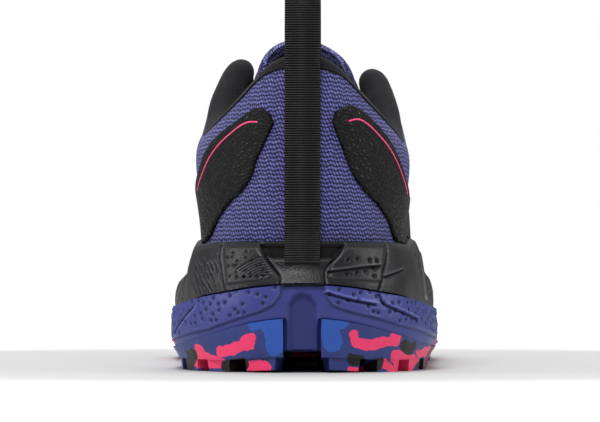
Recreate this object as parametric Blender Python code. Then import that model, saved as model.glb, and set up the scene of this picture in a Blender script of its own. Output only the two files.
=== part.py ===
# Trail running shoe for a right foot, standing empty on its sole.
# Metres. +X is the lateral side, +Y points to the toe, +Z is up.
# The origin is on the floor, under the middle of the sole's outline.

import math

import bpy
import bmesh
import numpy as np
from mathutils import Vector
from mathutils.bvhtree import BVHTree

MM = 0.001

# Main sizes of the shoe
SHOE_LENGTH = 286 * MM
BALL_WIDTH = 104 * MM
HEEL_WIDTH = 90 * MM
COLLAR_HEIGHT = 101 * MM
RIM_HEIGHT = 43.5 * MM
BED_HEIGHT = 32 * MM

# Course of the centre line across the shoe, from the heel's axis to the swung toe
HEEL_AXIS = 3.5 * MM
MIDDLE_AXIS = 1 * MM
TOE_SWING = -10 * MM

# Sole
LUG_HEIGHT = 4 * MM
LUG_DRAFT = 0.9 * MM
LUG_BITE = 0.8 * MM
LUG_PITCH = 19.5 * MM
EDGE_LUG = (12 * MM, 10 * MM)
ARM_LUG = 6.4 * MM
ARM_SWEEP = 0.35
ARM_CLEAR = 3 * MM
RUBBER = 2.4 * MM
RUBBER_PROUD = 0.5 * MM
TREAD_INSET = 1.8 * MM
CORE_INSET = 13 * MM
RIM_WALL = 3.6 * MM
STEP_LEDGE = 3.4 * MM
HEEL_LEDGE = 9.4 * MM
FORE_LEDGE = 6.4 * MM
PANEL_DEPTH = 1.2 * MM
TOE_SPRING = 12 * MM
HEEL_BEVEL = 1.6 * MM
ARCH_LIFT = 2.5 * MM
CHANNEL_WIDTH = 12.5 * MM
CHANNEL_LENGTH = 58 * MM
WINDOW_WIDTH = 30 * MM
WINDOW_HEIGHT = 4.6 * MM
WINDOW_DEPTH = 1.4 * MM

# Upper, tongue and insole
WALL = 2.4 * MM
COLLAR_PAD = 9.4 * MM
OVERLAY = 0.9 * MM
INSOLE = 3.6 * MM
TONGUE = 4.2 * MM
TONGUE_RISE = 16 * MM
TONGUE_TAPER = 0.14
FULLNESS = 1.1

# Webbing, laces and eyelets
LOOP_WIDTH = 12 * MM
LOOP_THICKNESS = 1.5 * MM
LOOP_RISE = 27 * MM
LOOP_LOW = 0.837
LACE_WIDTH = 5.5 * MM
LACE_THICKNESS = 1.6 * MM
LACE_LIFT = 0.8 * MM
LACE_DIVE = 0.34
EYELET_DIAMETER = 4.4 * MM

# Clearance between pieces that touch, and the finer one between flat layers
GAP = 0.3 * MM
SEAT_GAP = 0.5 * MM

# Mesh density: columns around the shoe, and rings up the outside and the inside of the upper
COLUMNS = 72
END_CROWDING = 0.5
OUTER_RINGS = 9
INNER_RISES = (1.0, 0.92, 0.82, 0.60, 0.28, 0.0)

# Plan outline of the sole, round the shoe from the heel centre by way of the lateral side.
# Columns: share of the length, half width as a share of the heel's half width, of the ball's half width.
OUTLINE = (
    (0.000, 0.00, 0.000),
    (0.016, 0.41, 0.000),
    (0.056, 0.71, 0.000),
    (0.119, 0.905, 0.000),
    (0.210, 0.985, 0.000),
    (0.332, 0.00, 0.870),
    (0.472, 0.00, 0.915),
    (0.622, 0.00, 0.972),
    (0.734, 0.00, 0.940),
    (0.839, 0.00, 0.840),
    (0.923, 0.00, 0.635),
    (0.976, 0.00, 0.375),
    (1.000, 0.00, 0.000),
    (0.982, 0.00, -0.340),
    (0.934, 0.00, -0.620),
    (0.839, 0.00, -0.890),
    (0.705, 0.00, -1.012),
    (0.587, 0.00, -0.950),
    (0.455, 0.00, -0.865),
    (0.332, 0.00, -0.860),
    (0.210, -1.015, 0.000),
    (0.119, -0.935, 0.000),
    (0.056, -0.71, 0.000),
    (0.016, -0.41, 0.000),
)

# Heights along the shoe, as shares: the bed of the bed height, the others of the rim height.
# Columns: share of the length, bed, top of the rubber wrap, step between the two foams, rim.
HEIGHTS = (
    (0.000, 1.000, 0.415, 0.672, 0.995),
    (0.030, 0.998, 0.330, 0.618, 0.995),
    (0.060, 0.996, 0.270, 0.585, 0.990),
    (0.100, 0.992, 0.215, 0.545, 0.980),
    (0.150, 0.988, 0.185, 0.510, 0.970),
    (0.185, 0.984, 0.180, 0.500, 0.960),
    (0.230, 0.975, 0.175, 0.485, 1.000),
    (0.300, 0.950, 0.170, 0.470, 1.035),
    (0.400, 0.905, 0.165, 0.450, 0.990),
    (0.500, 0.845, 0.165, 0.430, 0.845),
    (0.620, 0.780, 0.165, 0.415, 0.745),
    (0.740, 0.770, 0.180, 0.425, 0.715),
    (0.850, 0.810, 0.265, 0.480, 0.750),
    (0.940, 0.890, 0.450, 0.590, 0.815),
    (1.000, 0.960, 0.580, 0.680, 0.870),
)

# Meridians of the upper, from the foot on the bed to the topline.
# Columns: foot along, topline along, topline half width (share of the ball's half width),
# topline height (share of the collar height), then Bezier handles as shares of the collar
# height: foot out, foot up, top out, top down; last the collar padding as a share.
LATERAL = (
    (0.000, 0.031, 0.000, 1.000, 0.045, 0.25, 0.040, 0.22, 1.00),
    (0.032, 0.044, 0.225, 0.980, 0.040, 0.24, 0.045, 0.20, 1.00),
    (0.070, 0.074, 0.390, 0.902, 0.020, 0.22, 0.055, 0.17, 1.00),
    (0.126, 0.126, 0.550, 0.823, -0.025, 0.18, 0.080, 0.10, 1.00),
    (0.196, 0.196, 0.622, 0.783, -0.060, 0.16, 0.090, 0.06, 1.00),
    (0.259, 0.255, 0.622, 0.823, -0.055, 0.18, 0.085, 0.09, 1.05),
    (0.315, 0.305, 0.595, 0.935, -0.030, 0.22, 0.070, 0.17, 1.08),
    (0.364, 0.345, 0.540, 1.015, -0.010, 0.24, 0.070, 0.22, 1.05),
    (0.427, 0.398, 0.440, 0.975, -0.010, 0.22, 0.090, 0.17, 0.35),
    (0.507, 0.470, 0.375, 0.870, -0.020, 0.19, 0.120, 0.11, 0.00),
    (0.594, 0.550, 0.335, 0.757, -0.025, 0.17, 0.150, 0.08, 0.00),
    (0.699, 0.618, 0.285, 0.670, -0.015, 0.18, 0.210, 0.055, 0.00),
    (0.811, 0.661, 0.185, 0.622, 0.005, 0.20, 0.330, 0.050, 0.00),
    (0.916, 0.676, 0.090, 0.606, 0.010, 0.21, 0.480, 0.050, 0.00),
)
TOE_MERIDIAN = (1.000, 0.682, 0.000, 0.602, 0.010, 0.22, 0.580, 0.045, 0.00)
MEDIAL = (
    (0.032, 0.044, 0.225, 0.982, 0.040, 0.24, 0.045, 0.20, 1.00),
    (0.070, 0.074, 0.390, 0.908, 0.020, 0.22, 0.055, 0.17, 1.00),
    (0.126, 0.126, 0.560, 0.835, -0.025, 0.18, 0.090, 0.10, 1.00),
    (0.196, 0.196, 0.650, 0.807, -0.060, 0.16, 0.105, 0.06, 1.00),
    (0.259, 0.255, 0.655, 0.850, -0.055, 0.18, 0.095, 0.09, 1.05),
    (0.315, 0.305, 0.625, 0.965, -0.030, 0.22, 0.070, 0.17, 1.08),
    (0.364, 0.345, 0.540, 1.050, -0.010, 0.24, 0.070, 0.22, 1.05),
    (0.427, 0.398, 0.420, 0.990, -0.010, 0.22, 0.090, 0.17, 0.35),
    (0.507, 0.470, 0.365, 0.875, -0.010, 0.20, 0.125, 0.11, 0.00),
    (0.594, 0.550, 0.330, 0.758, -0.010, 0.18, 0.160, 0.08, 0.00),
    (0.699, 0.618, 0.280, 0.670, -0.005, 0.18, 0.215, 0.055, 0.00),
    (0.811, 0.661, 0.185, 0.622, 0.005, 0.20, 0.330, 0.050, 0.00),
    (0.916, 0.676, 0.090, 0.606, 0.010, 0.21, 0.480, 0.050, 0.00),
)
TOE_STATION = len(LATERAL)
STATIONS = 2 * TOE_STATION

# Overlays on the upper. Each row crosses the piece from one long edge to the other.
# Columns: station and rise of the first edge, station and rise of the second edge.
# Rise is a share of the way from the sole's rim to the topline.
HEEL_LATERAL = (
    (0.72, 0.730, 0.63, 0.670),
    (1.10, 0.800, 0.68, 0.600),
    (1.50, 0.835, 0.76, 0.520),
    (1.90, 0.845, 0.85, 0.420),
    (2.33, 0.800, 0.95, 0.345),
    (2.62, 0.715, 1.20, 0.280),
    (2.90, 0.600, 1.70, 0.215),
    (3.15, 0.500, 2.15, 0.140),
    (3.60, 0.430, 2.60, 0.025),
    (4.30, 0.370, 3.30, 0.020),
    (5.20, 0.300, 4.50, 0.020),
    (6.20, 0.225, 5.80, 0.020),
    (7.10, 0.150, 6.90, 0.020),
    (7.70, 0.080, 7.50, 0.020),
)
HEEL_MEDIAL = (
    (0.70, 0.715, 0.60, 0.665),
    (1.02, 0.775, 0.68, 0.600),
    (1.45, 0.792, 0.76, 0.530),
    (1.85, 0.800, 0.86, 0.455),
    (2.32, 0.790, 0.92, 0.360),
    (2.72, 0.735, 1.15, 0.285),
    (2.98, 0.650, 1.60, 0.235),
    (3.15, 0.560, 2.05, 0.165),
    (3.60, 0.460, 2.55, 0.050),
    (4.30, 0.385, 3.20, 0.020),
    (5.20, 0.310, 4.40, 0.020),
    (6.20, 0.230, 5.80, 0.020),
    (7.10, 0.155, 6.90, 0.020),
    (7.70, 0.080, 7.50, 0.020),
)
TOE_CAP = (
    (11.40, 0.060, 11.20, 0.020),
    (11.90, 0.150, 11.90, 0.020),
    (12.60, 0.240, 12.60, 0.020),
    (13.30, 0.310, 13.30, 0.020),
    (14.00, 0.340, 14.00, 0.020),
    (14.70, 0.310, 14.70, 0.020),
    (15.40, 0.240, 15.40, 0.020),
    (16.10, 0.150, 16.10, 0.020),
    (16.80, 0.060, 16.60, 0.020),
)
EYESTAY = (
    (7.15, 0.900, 7.15, 0.780),
    (7.60, 0.935, 7.60, 0.755),
    (8.20, 0.960, 8.20, 0.740),
    (9.00, 0.965, 9.00, 0.720),
    (10.00, 0.965, 10.00, 0.700),
    (11.00, 0.965, 11.00, 0.690),
    (12.00, 0.960, 12.00, 0.720),
    (12.60, 0.955, 12.60, 0.760),
)

# Stations of the eyelets, from the bottom row to the top one
EYELET_ROWS = (11.60, 10.90, 10.20, 9.50, 8.80, 8.10)
EYELET_RISE = 0.86

# Grooves down the outside of the dark foam's heel: places as shares, across of the heel's half
# width from the heel's axis and up of the rim height.
HEEL_CREASES = (
    ((-0.345, 0.955), (-0.262, 0.850), (-0.186, 0.755), (-0.160, 0.690)),
    ((0.345, 0.955), (0.262, 0.850), (0.186, 0.755), (0.160, 0.690)),
    ((-0.672, 0.960), (-0.625, 0.820), (-0.570, 0.680)),
    ((0.684, 0.960), (0.618, 0.820), (0.550, 0.680)),
)

# Grooves in the lateral side of the light foam: places as shares of length and of rim height
SIDE_GROOVES = (
    ((0.030, 0.560), (0.090, 0.500), (0.170, 0.440), (0.260, 0.400)),
    ((0.110, 0.420), (0.180, 0.330), (0.260, 0.270)),
)

# Rows of lugs in the middle of the sole, as shares of the length. Each row has a left and a
# right arm that sweep back towards the edge lugs.
ARM_ROWS = (0.130, 0.195, 0.260, 0.550, 0.615, 0.680, 0.745, 0.810, 0.875)


# Finish of each piece: colour, roughness and metallic value
FINISHES = {
    "outsole": ((0.030, 0.090, 0.350), 0.60, 0.0),
    "midsole": ((0.050, 0.060, 0.320), 0.62, 0.0),
    "carrier": ((0.030, 0.030, 0.035), 0.58, 0.0),
    "upper": ((0.100, 0.090, 0.420), 0.90, 0.0),
    "insole": ((0.020, 0.020, 0.025), 0.92, 0.0),
    "heel_overlay_lateral": ((0.010, 0.010, 0.011), 0.50, 0.0),
    "heel_overlay_medial": ((0.010, 0.010, 0.011), 0.50, 0.0),
    "toe_cap": ((0.012, 0.012, 0.013), 0.52, 0.0),
    "eyestay_lateral": ((0.014, 0.014, 0.016), 0.55, 0.0),
    "eyestay_medial": ((0.014, 0.014, 0.016), 0.55, 0.0),
    "tongue": ((0.090, 0.080, 0.360), 0.90, 0.0),
    "lace_crossing": ((0.050, 0.050, 0.060), 0.88, 0.0),
    "pull_loop": ((0.015, 0.015, 0.018), 0.90, 0.0),
}


# Curve and shape helpers


def smooth(value):
    value = np.clip(value, 0.0, 1.0)
    return value * value * (3 - 2 * value)


def through(knots, values, at, period=None):
    """Smooth curve through rows of values at rising knots, closed where a period is given."""
    knots = np.asarray(knots, float)
    values = np.asarray(values, float)
    if period is None:
        before, after = 2 * knots[0] - knots[1], 2 * knots[-1] - knots[-2]
        first, last = 2 * values[0] - values[1], 2 * values[-1] - values[-2]
    else:
        at = np.mod(at, period)
        knots = np.append(knots, knots[0] + period)
        values = np.concatenate([values, values[:1]])
        before, after = knots[-2] - period, knots[1] + period
        first, last = values[-2], values[1]
    steps = np.concatenate([[before], knots, [after]])
    rows = np.concatenate([[first], values, [last]])
    spans = np.diff(steps)
    slopes = np.diff(rows, axis=0) / spans[:, None]
    tangents = (slopes[:-1] * spans[1:, None] + slopes[1:] * spans[:-1, None]) / (
        spans[:-1] + spans[1:]
    )[:, None]
    at = np.clip(np.asarray(at, float), knots[0], knots[-1])
    index = np.clip(np.searchsorted(knots, at, side="right") - 1, 0, len(knots) - 2)
    span = knots[index + 1] - knots[index]
    share = ((at - knots[index]) / span)[..., None]
    span = span[..., None]
    start, end = values[index], values[index + 1]
    out_of, into = tangents[index] * span, tangents[index + 1] * span
    return (
        start * (1 + 2 * share) * (1 - share) ** 2
        + out_of * share * (1 - share) ** 2
        + end * share**2 * (3 - 2 * share)
        + into * share**2 * (share - 1)
    )


def chord_knots(points, closed):
    if closed:
        points = np.concatenate([points, points[:1]])
    lengths = np.linalg.norm(np.diff(points, axis=0), axis=1)
    return np.concatenate([[0.0], np.cumsum(lengths)])


def column_of(table, name_index, along):
    rows = np.array(table)
    return through(rows[:, 0], rows[:, [name_index]], along)[..., 0]


def centre_line(along):
    """How far the shoe's middle lies from X = 0, at a share of the length."""
    at_heel = (HEEL_AXIS - MIDDLE_AXIS) * (1 - smooth((np.asarray(along) - 0.25) / 0.35))
    at_toe = TOE_SWING * np.clip((np.asarray(along) - 0.70) / 0.30, 0, None) ** 1.6
    return MIDDLE_AXIS + at_heel + at_toe


def length_to_y(along):
    return (np.asarray(along) - 0.5) * SHOE_LENGTH


# Plan outline of the sole


def outline_points():
    rows = np.array(OUTLINE)
    across = rows[:, 1] * HEEL_WIDTH / 2 + rows[:, 2] * BALL_WIDTH / 2
    return np.stack([centre_line(rows[:, 0]) + across, length_to_y(rows[:, 0])], axis=1)


OUTLINE_POINTS = outline_points()
OUTLINE_KNOTS = chord_knots(OUTLINE_POINTS, closed=True)
OUTLINE_TURN = OUTLINE_KNOTS[-1]
TOE_ROW = max(range(len(OUTLINE)), key=lambda row: OUTLINE[row][0])


def outline(turn):
    """Point of the outline, and its outward direction, at a distance of travel round the shoe."""
    reach = 0.2 * MM

    def at(place):
        return through(OUTLINE_KNOTS[:-1], OUTLINE_POINTS, place, OUTLINE_TURN)

    course = at(turn + reach) - at(turn - reach)
    course /= np.linalg.norm(course, axis=-1, keepdims=True)
    outward = np.stack([course[..., 1], -course[..., 0]], axis=-1)
    return at(turn), outward


def turn_at(along, lateral):
    """Distance of travel where one side of the outline reaches a share of the length."""
    toe = OUTLINE_KNOTS[TOE_ROW]
    turns = np.linspace(0, toe, 400) if lateral else np.linspace(OUTLINE_TURN, toe, 400)
    reached = np.maximum.accumulate(outline(turns)[0][:, 1])
    return float(np.interp(length_to_y(along), reached, turns))


# Surface of the upper, as meridians from the foot to the topline


def meridian_rows():
    rows = []
    sides = [(row, 1) for row in LATERAL] + [(TOE_MERIDIAN, 1)]
    sides += [(row, -1) for row in reversed(MEDIAL)]
    for row, side in sides:
        foot, top, half_width, height, *handles, pad = row
        if foot in (0.0, 1.0):
            turn = 0.0 if foot == 0.0 else OUTLINE_KNOTS[TOE_ROW]
        else:
            turn = turn_at(foot, side > 0)
        x = centre_line(top) + side * half_width * BALL_WIDTH / 2
        place = [x, length_to_y(top), height * COLLAR_HEIGHT]
        rows.append([turn / OUTLINE_TURN, *place, *handles, pad])
    return np.array(rows, float)


MERIDIANS = meridian_rows()


def station_knots():
    """Station places on a scale from 0 to 1, spaced by the mean of foot and topline travel."""
    feet = np.append(MERIDIANS[:, 0], 1.0)
    tops = chord_knots(MERIDIANS[:, 1:4], closed=True)
    return (feet + tops / tops[-1]) / 2


STATION_KNOTS = station_knots()
TRACKS = np.concatenate(
    [MERIDIANS[:, :1] - STATION_KNOTS[:-1, None], MERIDIANS[:, 1:]], axis=1
)


def ledge(along):
    """How far the upper stands in from the sole's outline."""
    return HEEL_LEDGE + (FORE_LEDGE - HEEL_LEDGE) * smooth((along - 0.28) / 0.36)


def meridian(station):
    """Everything that a meridian is built from, at a station number that may be a fraction."""
    place = np.interp(np.mod(station, STATIONS), np.arange(STATIONS + 1), STATION_KNOTS)
    tracks = through(STATION_KNOTS[:-1], TRACKS, place, 1.0)
    turn = (place + tracks[..., 0]) * OUTLINE_TURN
    edge, outward = outline(turn)
    along = edge[..., 1] / SHOE_LENGTH + 0.5
    foot_plan = edge - outward * ledge(along)[..., None]
    bed = column_of(HEIGHTS, 1, along) * BED_HEIGHT
    foot = np.concatenate([foot_plan, bed[..., None]], axis=-1)
    out = np.concatenate([outward, np.zeros_like(bed)[..., None]], axis=-1)
    up = np.array([0.0, 0.0, 1.0])
    top = tracks[..., 1:4]
    hold = tracks[..., 4:8, None] * COLLAR_HEIGHT
    low_handle = foot + out * hold[..., 0, :] + up * hold[..., 1, :]
    high_handle = top + out * hold[..., 2, :] - up * hold[..., 3, :]
    return {
        "turn": turn,
        "along": along,
        "out": out,
        "pad": tracks[..., 8],
        "points": (foot, low_handle, high_handle, top),
    }


def skin(station, rise):
    """Outer face of the upper. Rise is 0 at the foot and 1 at the topline."""
    foot, low, high, top = meridian(station)["points"]
    rise = np.asarray(rise, float)[..., None]
    left = 1 - rise
    return (
        foot * left**3 + low * 3 * left**2 * rise + high * 3 * left * rise**2 + top * rise**3
    )


def skin_normal(station, rise):
    step = 0.02
    low, high = np.clip(rise - step, 0, 1), np.clip(rise + step, 0, 1)
    around = skin(station + step, rise) - skin(station - step, rise)
    upward = skin(station, high) - skin(station, low)
    normal = np.cross(around, upward)
    return normal / np.linalg.norm(normal, axis=-1, keepdims=True)


def wall_at(station, rise):
    """Thickness of the upper's wall, with the padded collar near the topline."""
    padded = np.clip(meridian(station)["pad"], 0, None) * COLLAR_PAD
    growth = smooth((np.asarray(rise) - 0.42) / 0.52)
    return np.maximum(WALL + (padded - WALL) * growth, WALL)


def offset_skin(station, rise, distance):
    """A face beside the skin: outward of it where the distance is positive."""
    rise = rise + np.zeros_like(station)
    distance = np.asarray(distance) + np.zeros_like(station)
    return skin(station, rise) + skin_normal(station, rise) * distance[..., None]


def rise_at_height(stations, heights):
    """Rise where each meridian first passes a height."""
    rises = np.linspace(0, 0.6, 60)
    found = []
    for station, height in zip(stations, heights):
        line = skin(np.full(rises.shape, station), rises)[:, 2]
        found.append(np.interp(height, np.maximum.accumulate(line), rises))
    return np.array(found)


# Mesh helpers


def own_material(name):
    """Material of one piece, with the finish of its kind."""
    colour, roughness, metallic = FINISHES[name.rstrip("_0123456789")]
    material = bpy.data.materials.new(name)
    material.use_nodes = True
    shader = material.node_tree.nodes["Principled BSDF"]
    shader.inputs["Base Color"].default_value = (*colour, 1.0)
    shader.inputs["Roughness"].default_value = roughness
    shader.inputs["Metallic"].default_value = metallic
    material.diffuse_color = (*colour, 1.0)
    return material


def new_object(name, points, faces):
    mesh = bpy.data.meshes.new(name)
    mesh.from_pydata([tuple(point) for point in points], [], faces)
    shaped = bmesh.new()
    shaped.from_mesh(mesh)
    bmesh.ops.remove_doubles(shaped, verts=shaped.verts, dist=0.005 * MM)
    bmesh.ops.recalc_face_normals(shaped, faces=shaped.faces)
    shaped.to_mesh(mesh)
    shaped.free()
    made = bpy.data.objects.new(name, mesh)
    bpy.context.scene.collection.objects.link(made)
    mesh.materials.append(own_material(name))
    mesh.shade_smooth()
    mesh.set_sharp_from_angle(angle=math.radians(35))
    return made


def ring_faces(ring_count, columns, first=0):
    faces = []
    for ring in range(ring_count - 1):
        for column in range(columns):
            after = (column + 1) % columns
            low, high = first + ring * columns, first + (ring + 1) * columns
            faces.append((low + column, low + after, high + after, high + column))
    return faces


def bridge_faces(ring_start, columns, flip):
    """Closes a ring by strips across the shoe, each from a lateral column to its medial one."""
    faces = []
    for column in range(columns // 2):
        near = (column, column + 1, columns - column - 1, (columns - column) % columns)
        face = []
        for place in near:
            if ring_start + place not in face:
                face.append(ring_start + place)
        faces.append(tuple(reversed(face)) if flip else tuple(face))
    return faces


def lofted(name, rings):
    """Closed solid from rings of points, both ends closed across the shoe."""
    columns = len(rings[0])
    points = np.concatenate(rings)
    faces = ring_faces(len(rings), columns)
    faces += bridge_faces(0, columns, flip=True)
    faces += bridge_faces((len(rings) - 1) * columns, columns, flip=False)
    return new_object(name, points, faces)


def sheet_parts(top, bottom):
    """Points and faces of a closed solid between two grids of points of one shape."""
    rows, columns = top.shape[:2]
    points = np.concatenate([top.reshape(-1, 3), bottom.reshape(-1, 3)])
    under = rows * columns
    faces = []
    for row in range(rows - 1):
        for column in range(columns - 1):
            a = row * columns + column
            b, c, d = a + 1, a + columns + 1, a + columns
            faces.append((a, b, c, d))
            faces.append((under + d, under + c, under + b, under + a))
    rim = [column for column in range(columns)]
    rim += [row * columns + columns - 1 for row in range(1, rows)]
    rim += [(rows - 1) * columns + column for column in range(columns - 2, -1, -1)]
    rim += [row * columns for row in range(rows - 2, 0, -1)]
    for here, after in zip(rim, rim[1:] + rim[:1]):
        faces.append((after, here, under + here, under + after))
    return points, faces


def cutter_object(name, points, faces):
    mesh = bpy.data.meshes.new(name)
    mesh.from_pydata([tuple(point) for point in points], [], faces)
    shaped = bmesh.new()
    shaped.from_mesh(mesh)
    bmesh.ops.recalc_face_normals(shaped, faces=shaped.faces)
    shaped.to_mesh(mesh)
    shaped.free()
    cutter = bpy.data.objects.new(name, mesh)
    bpy.context.scene.collection.objects.link(cutter)
    cutter.hide_render = True
    cutter.display_type = "WIRE"
    return cutter


def surface_tree(piece):
    shaped = bmesh.new()
    shaped.from_mesh(piece.data)
    tree = BVHTree.FromBMesh(shaped)
    shaped.free()
    return tree


def triangulate(piece):
    shaped = bmesh.new()
    shaped.from_mesh(piece.data)
    bmesh.ops.triangulate(shaped, faces=shaped.faces)
    shaped.to_mesh(piece.data)
    shaped.free()


def apply_boolean(target, cutters, operation):
    for piece in (target, *cutters):
        triangulate(piece)
    for cutter in cutters:
        modifier = target.modifiers.new(operation.title(), "BOOLEAN")
        modifier.operation = operation
        modifier.solver = "EXACT"
        modifier.object = cutter
    graph = bpy.context.evaluated_depsgraph_get()
    shaped = bpy.data.meshes.new_from_object(target.evaluated_get(graph))
    target.modifiers.clear()
    target.data = shaped
    for cutter in cutters:
        bpy.data.objects.remove(cutter)


# Sole


def column_stations():
    """Stations of the columns, closer together round the heel and the toe."""
    share = np.arange(COLUMNS // 2) / (COLUMNS // 2)
    eased = share - END_CROWDING * np.sin(2 * np.pi * share) / (2 * np.pi)
    toe = STATION_KNOTS[TOE_STATION]
    places = np.concatenate([toe * eased, toe + (1 - toe) * eased])
    return np.interp(places, STATION_KNOTS, np.arange(STATIONS + 1))


def sole_columns():
    """Outline, heights and directions at every column, shared by the sole's layers."""
    stations = column_stations()
    fields = meridian(stations)
    edge, outward = outline(fields["turn"])
    along = edge[:, 1] / SHOE_LENGTH + 0.5
    heights = np.array(HEIGHTS)
    levels = through(heights[:, 0], heights[:, 1:], along)
    tread = tread_height(edge[:, 1], np.ones(COLUMNS))
    return {
        "stations": stations,
        "edge": edge,
        "outward": outward,
        "along": along,
        "tread": tread,
        "bed": levels[:, 0] * BED_HEIGHT,
        "wrap": levels[:, 1] * RIM_HEIGHT,
        "step": levels[:, 2] * RIM_HEIGHT,
        "rim": levels[:, 3] * RIM_HEIGHT,
        "rim_rise": rise_at_height(stations, levels[:, 3] * RIM_HEIGHT),
    }


def tread_height(y, edge_share):
    """Underside of the lugs: flat from heel to ball, with a bevelled heel, an arch and toe spring."""
    along = np.asarray(y) / SHOE_LENGTH + 0.5
    toe = TOE_SPRING * np.clip((along - 0.68) / 0.32, 0, None) ** 1.7
    heel = HEEL_BEVEL * np.clip(1 - along / 0.05, 0, 1) ** 1.5
    arch = ARCH_LIFT * smooth((along - 0.30) / 0.07) * smooth((0.52 - along) / 0.07)
    return toe + heel + arch * edge_share


def sole_ring(sole, inset, height):
    plan = sole["edge"] - sole["outward"] * (np.zeros(COLUMNS) + inset)[:, None]
    return np.concatenate([plan, (np.zeros(COLUMNS) + height)[:, None]], axis=1)


def core_height(sole):
    """Level of the seam between the two foams, inside the sole."""
    return sole["tread"] + 0.62 * (sole["bed"] - sole["tread"])


def sheet_ring(sole, inset, lift):
    """Ring at a lift above the underside of the rubber sheet, which follows the tread."""
    ring = sole_ring(sole, inset, 0)
    ring[:, 2] = tread_height(ring[:, 1], 1) + LUG_HEIGHT + lift
    return ring


def make_outsole(sole):
    sheet = sole["tread"] + LUG_HEIGHT
    wrap = np.maximum(sole["wrap"], sheet + RUBBER + 0.6 * MM)
    proud = -RUBBER_PROUD
    rings = [
        sheet_ring(sole, CORE_INSET, RUBBER),
        sheet_ring(sole, TREAD_INSET + RUBBER, RUBBER),
        sole_ring(sole, proud + RUBBER, wrap),
        sole_ring(sole, proud, wrap),
        sole_ring(sole, 0.5 * TREAD_INSET, 0.55 * sheet + 0.45 * wrap),
        sheet_ring(sole, TREAD_INSET, 0),
        sheet_ring(sole, CORE_INSET, 0),
    ]
    return lofted("outsole", rings)


def make_midsole(sole):
    wrap = np.maximum(sole["wrap"], sole["tread"] + LUG_HEIGHT + RUBBER + 0.6 * MM)
    half_gap = GAP / 2
    widest = (wrap + sole["step"]) / 2
    rings = [
        sheet_ring(sole, CORE_INSET, RUBBER + GAP),
        sheet_ring(sole, TREAD_INSET + RUBBER + GAP, RUBBER + GAP),
        sole_ring(sole, RUBBER - RUBBER_PROUD + GAP, wrap + GAP),
        sole_ring(sole, 0.35 * MM, wrap + GAP),
        sole_ring(sole, 0, widest),
        sole_ring(sole, 0.8 * MM, sole["step"] - half_gap),
        sole_ring(sole, CORE_INSET, core_height(sole) - half_gap),
    ]
    return lofted("midsole", rings)


def step_ledge(along):
    """How far the dark foam stands in from the light one: little at the back, more on the sides."""
    behind = 0.35 + 0.65 * smooth((along - 0.02) / 0.1)
    return STEP_LEDGE * behind * (1 - 0.6 * smooth((along - 0.30) / 0.30))


def make_carrier(sole):
    stations, rim, rise = sole["stations"], sole["rim"], sole["rim_rise"]
    low = sole_ring(sole, step_ledge(sole["along"]), sole["step"] + GAP / 2)
    outer = offset_skin(stations, rise, GAP + RIM_WALL)

    def side(share, bulge):
        blended = low + (outer - low) * share
        blended[:, :2] += sole["outward"] * bulge
        blended[:, 2] = low[:, 2] + (rim - low[:, 2]) * share
        return blended

    rounded = outer - np.pad(sole["outward"], ((0, 0), (0, 1))) * (0.35 * RIM_WALL)
    rounded[:, 2] = rim
    foot = offset_skin(stations, 0.0, GAP)
    foot[:, 2] = sole["bed"] - GAP
    rings = [
        sole_ring(sole, CORE_INSET, core_height(sole) + GAP / 2),
        low,
        side(0.3, 0.5 * MM),
        side(0.6, 0.7 * MM),
        side(0.86, 0.3 * MM),
        rounded,
        offset_skin(stations, rise, GAP),
        offset_skin(stations, rise / 2, GAP),
        foot,
    ]
    return lofted("carrier", rings)


# Upper


def inner_skin(stations, rise):
    """Inner face of the upper, level with the outer face at the foot."""
    ring = offset_skin(stations, rise, -wall_at(stations, rise + 0 * stations))
    if rise == 0:
        ring[:, 2] = skin(stations, 0 * stations)[:, 2]
    return ring


def make_upper(sole):
    stations = sole["stations"]
    rim_rise = sole["rim_rise"]
    rings = [offset_skin(stations, rim_rise * share, 0.0) for share in (0, 0.5)]
    for share in np.linspace(0, 1, OUTER_RINGS - 2):
        rings.append(offset_skin(stations, rim_rise + (1 - rim_rise) * share, 0.0))
    outer_edge = rings[-1]
    inner_edge = offset_skin(stations, 1.0, -wall_at(stations, 1.0))
    climb = skin(stations, np.ones(COLUMNS)) - skin(stations, np.full(COLUMNS, 0.96))
    climb /= np.linalg.norm(climb, axis=1, keepdims=True)
    half = np.linalg.norm(outer_edge - inner_edge, axis=1, keepdims=True) / 2
    middle, across = (outer_edge + inner_edge) / 2, (outer_edge - inner_edge) / 2
    for angle in (45, 90, 135):
        turn = math.radians(angle)
        rings.append(middle + across * math.cos(turn) + climb * half * math.sin(turn))
    rings += [inner_skin(stations, rise) for rise in INNER_RISES]
    points = np.concatenate(rings)
    faces = ring_faces(len(rings), COLUMNS)
    last = (len(rings) - 1) * COLUMNS
    for column in range(COLUMNS):
        after = (column + 1) % COLUMNS
        faces.append((last + column, last + after, after, column))
    return new_object("upper", points, faces)


def rim_rise(station):
    """Rise at which the upper passes the sole's rim."""
    station = np.mod(station, STATIONS)
    return np.interp(station, RIM_STATIONS, RIM_RISES)


def above_rim(station, share):
    """Rise at a share of the way from the sole's rim to the topline."""
    low = rim_rise(station)
    return low + (1 - low) * share


def rim_track():
    stations = np.linspace(0, STATIONS, 4 * STATIONS + 1)
    along = meridian(stations)["along"]
    heights = column_of(HEIGHTS, 4, along) * RIM_HEIGHT
    return stations, rise_at_height(stations, heights)


RIM_STATIONS, RIM_RISES = rim_track()


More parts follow.
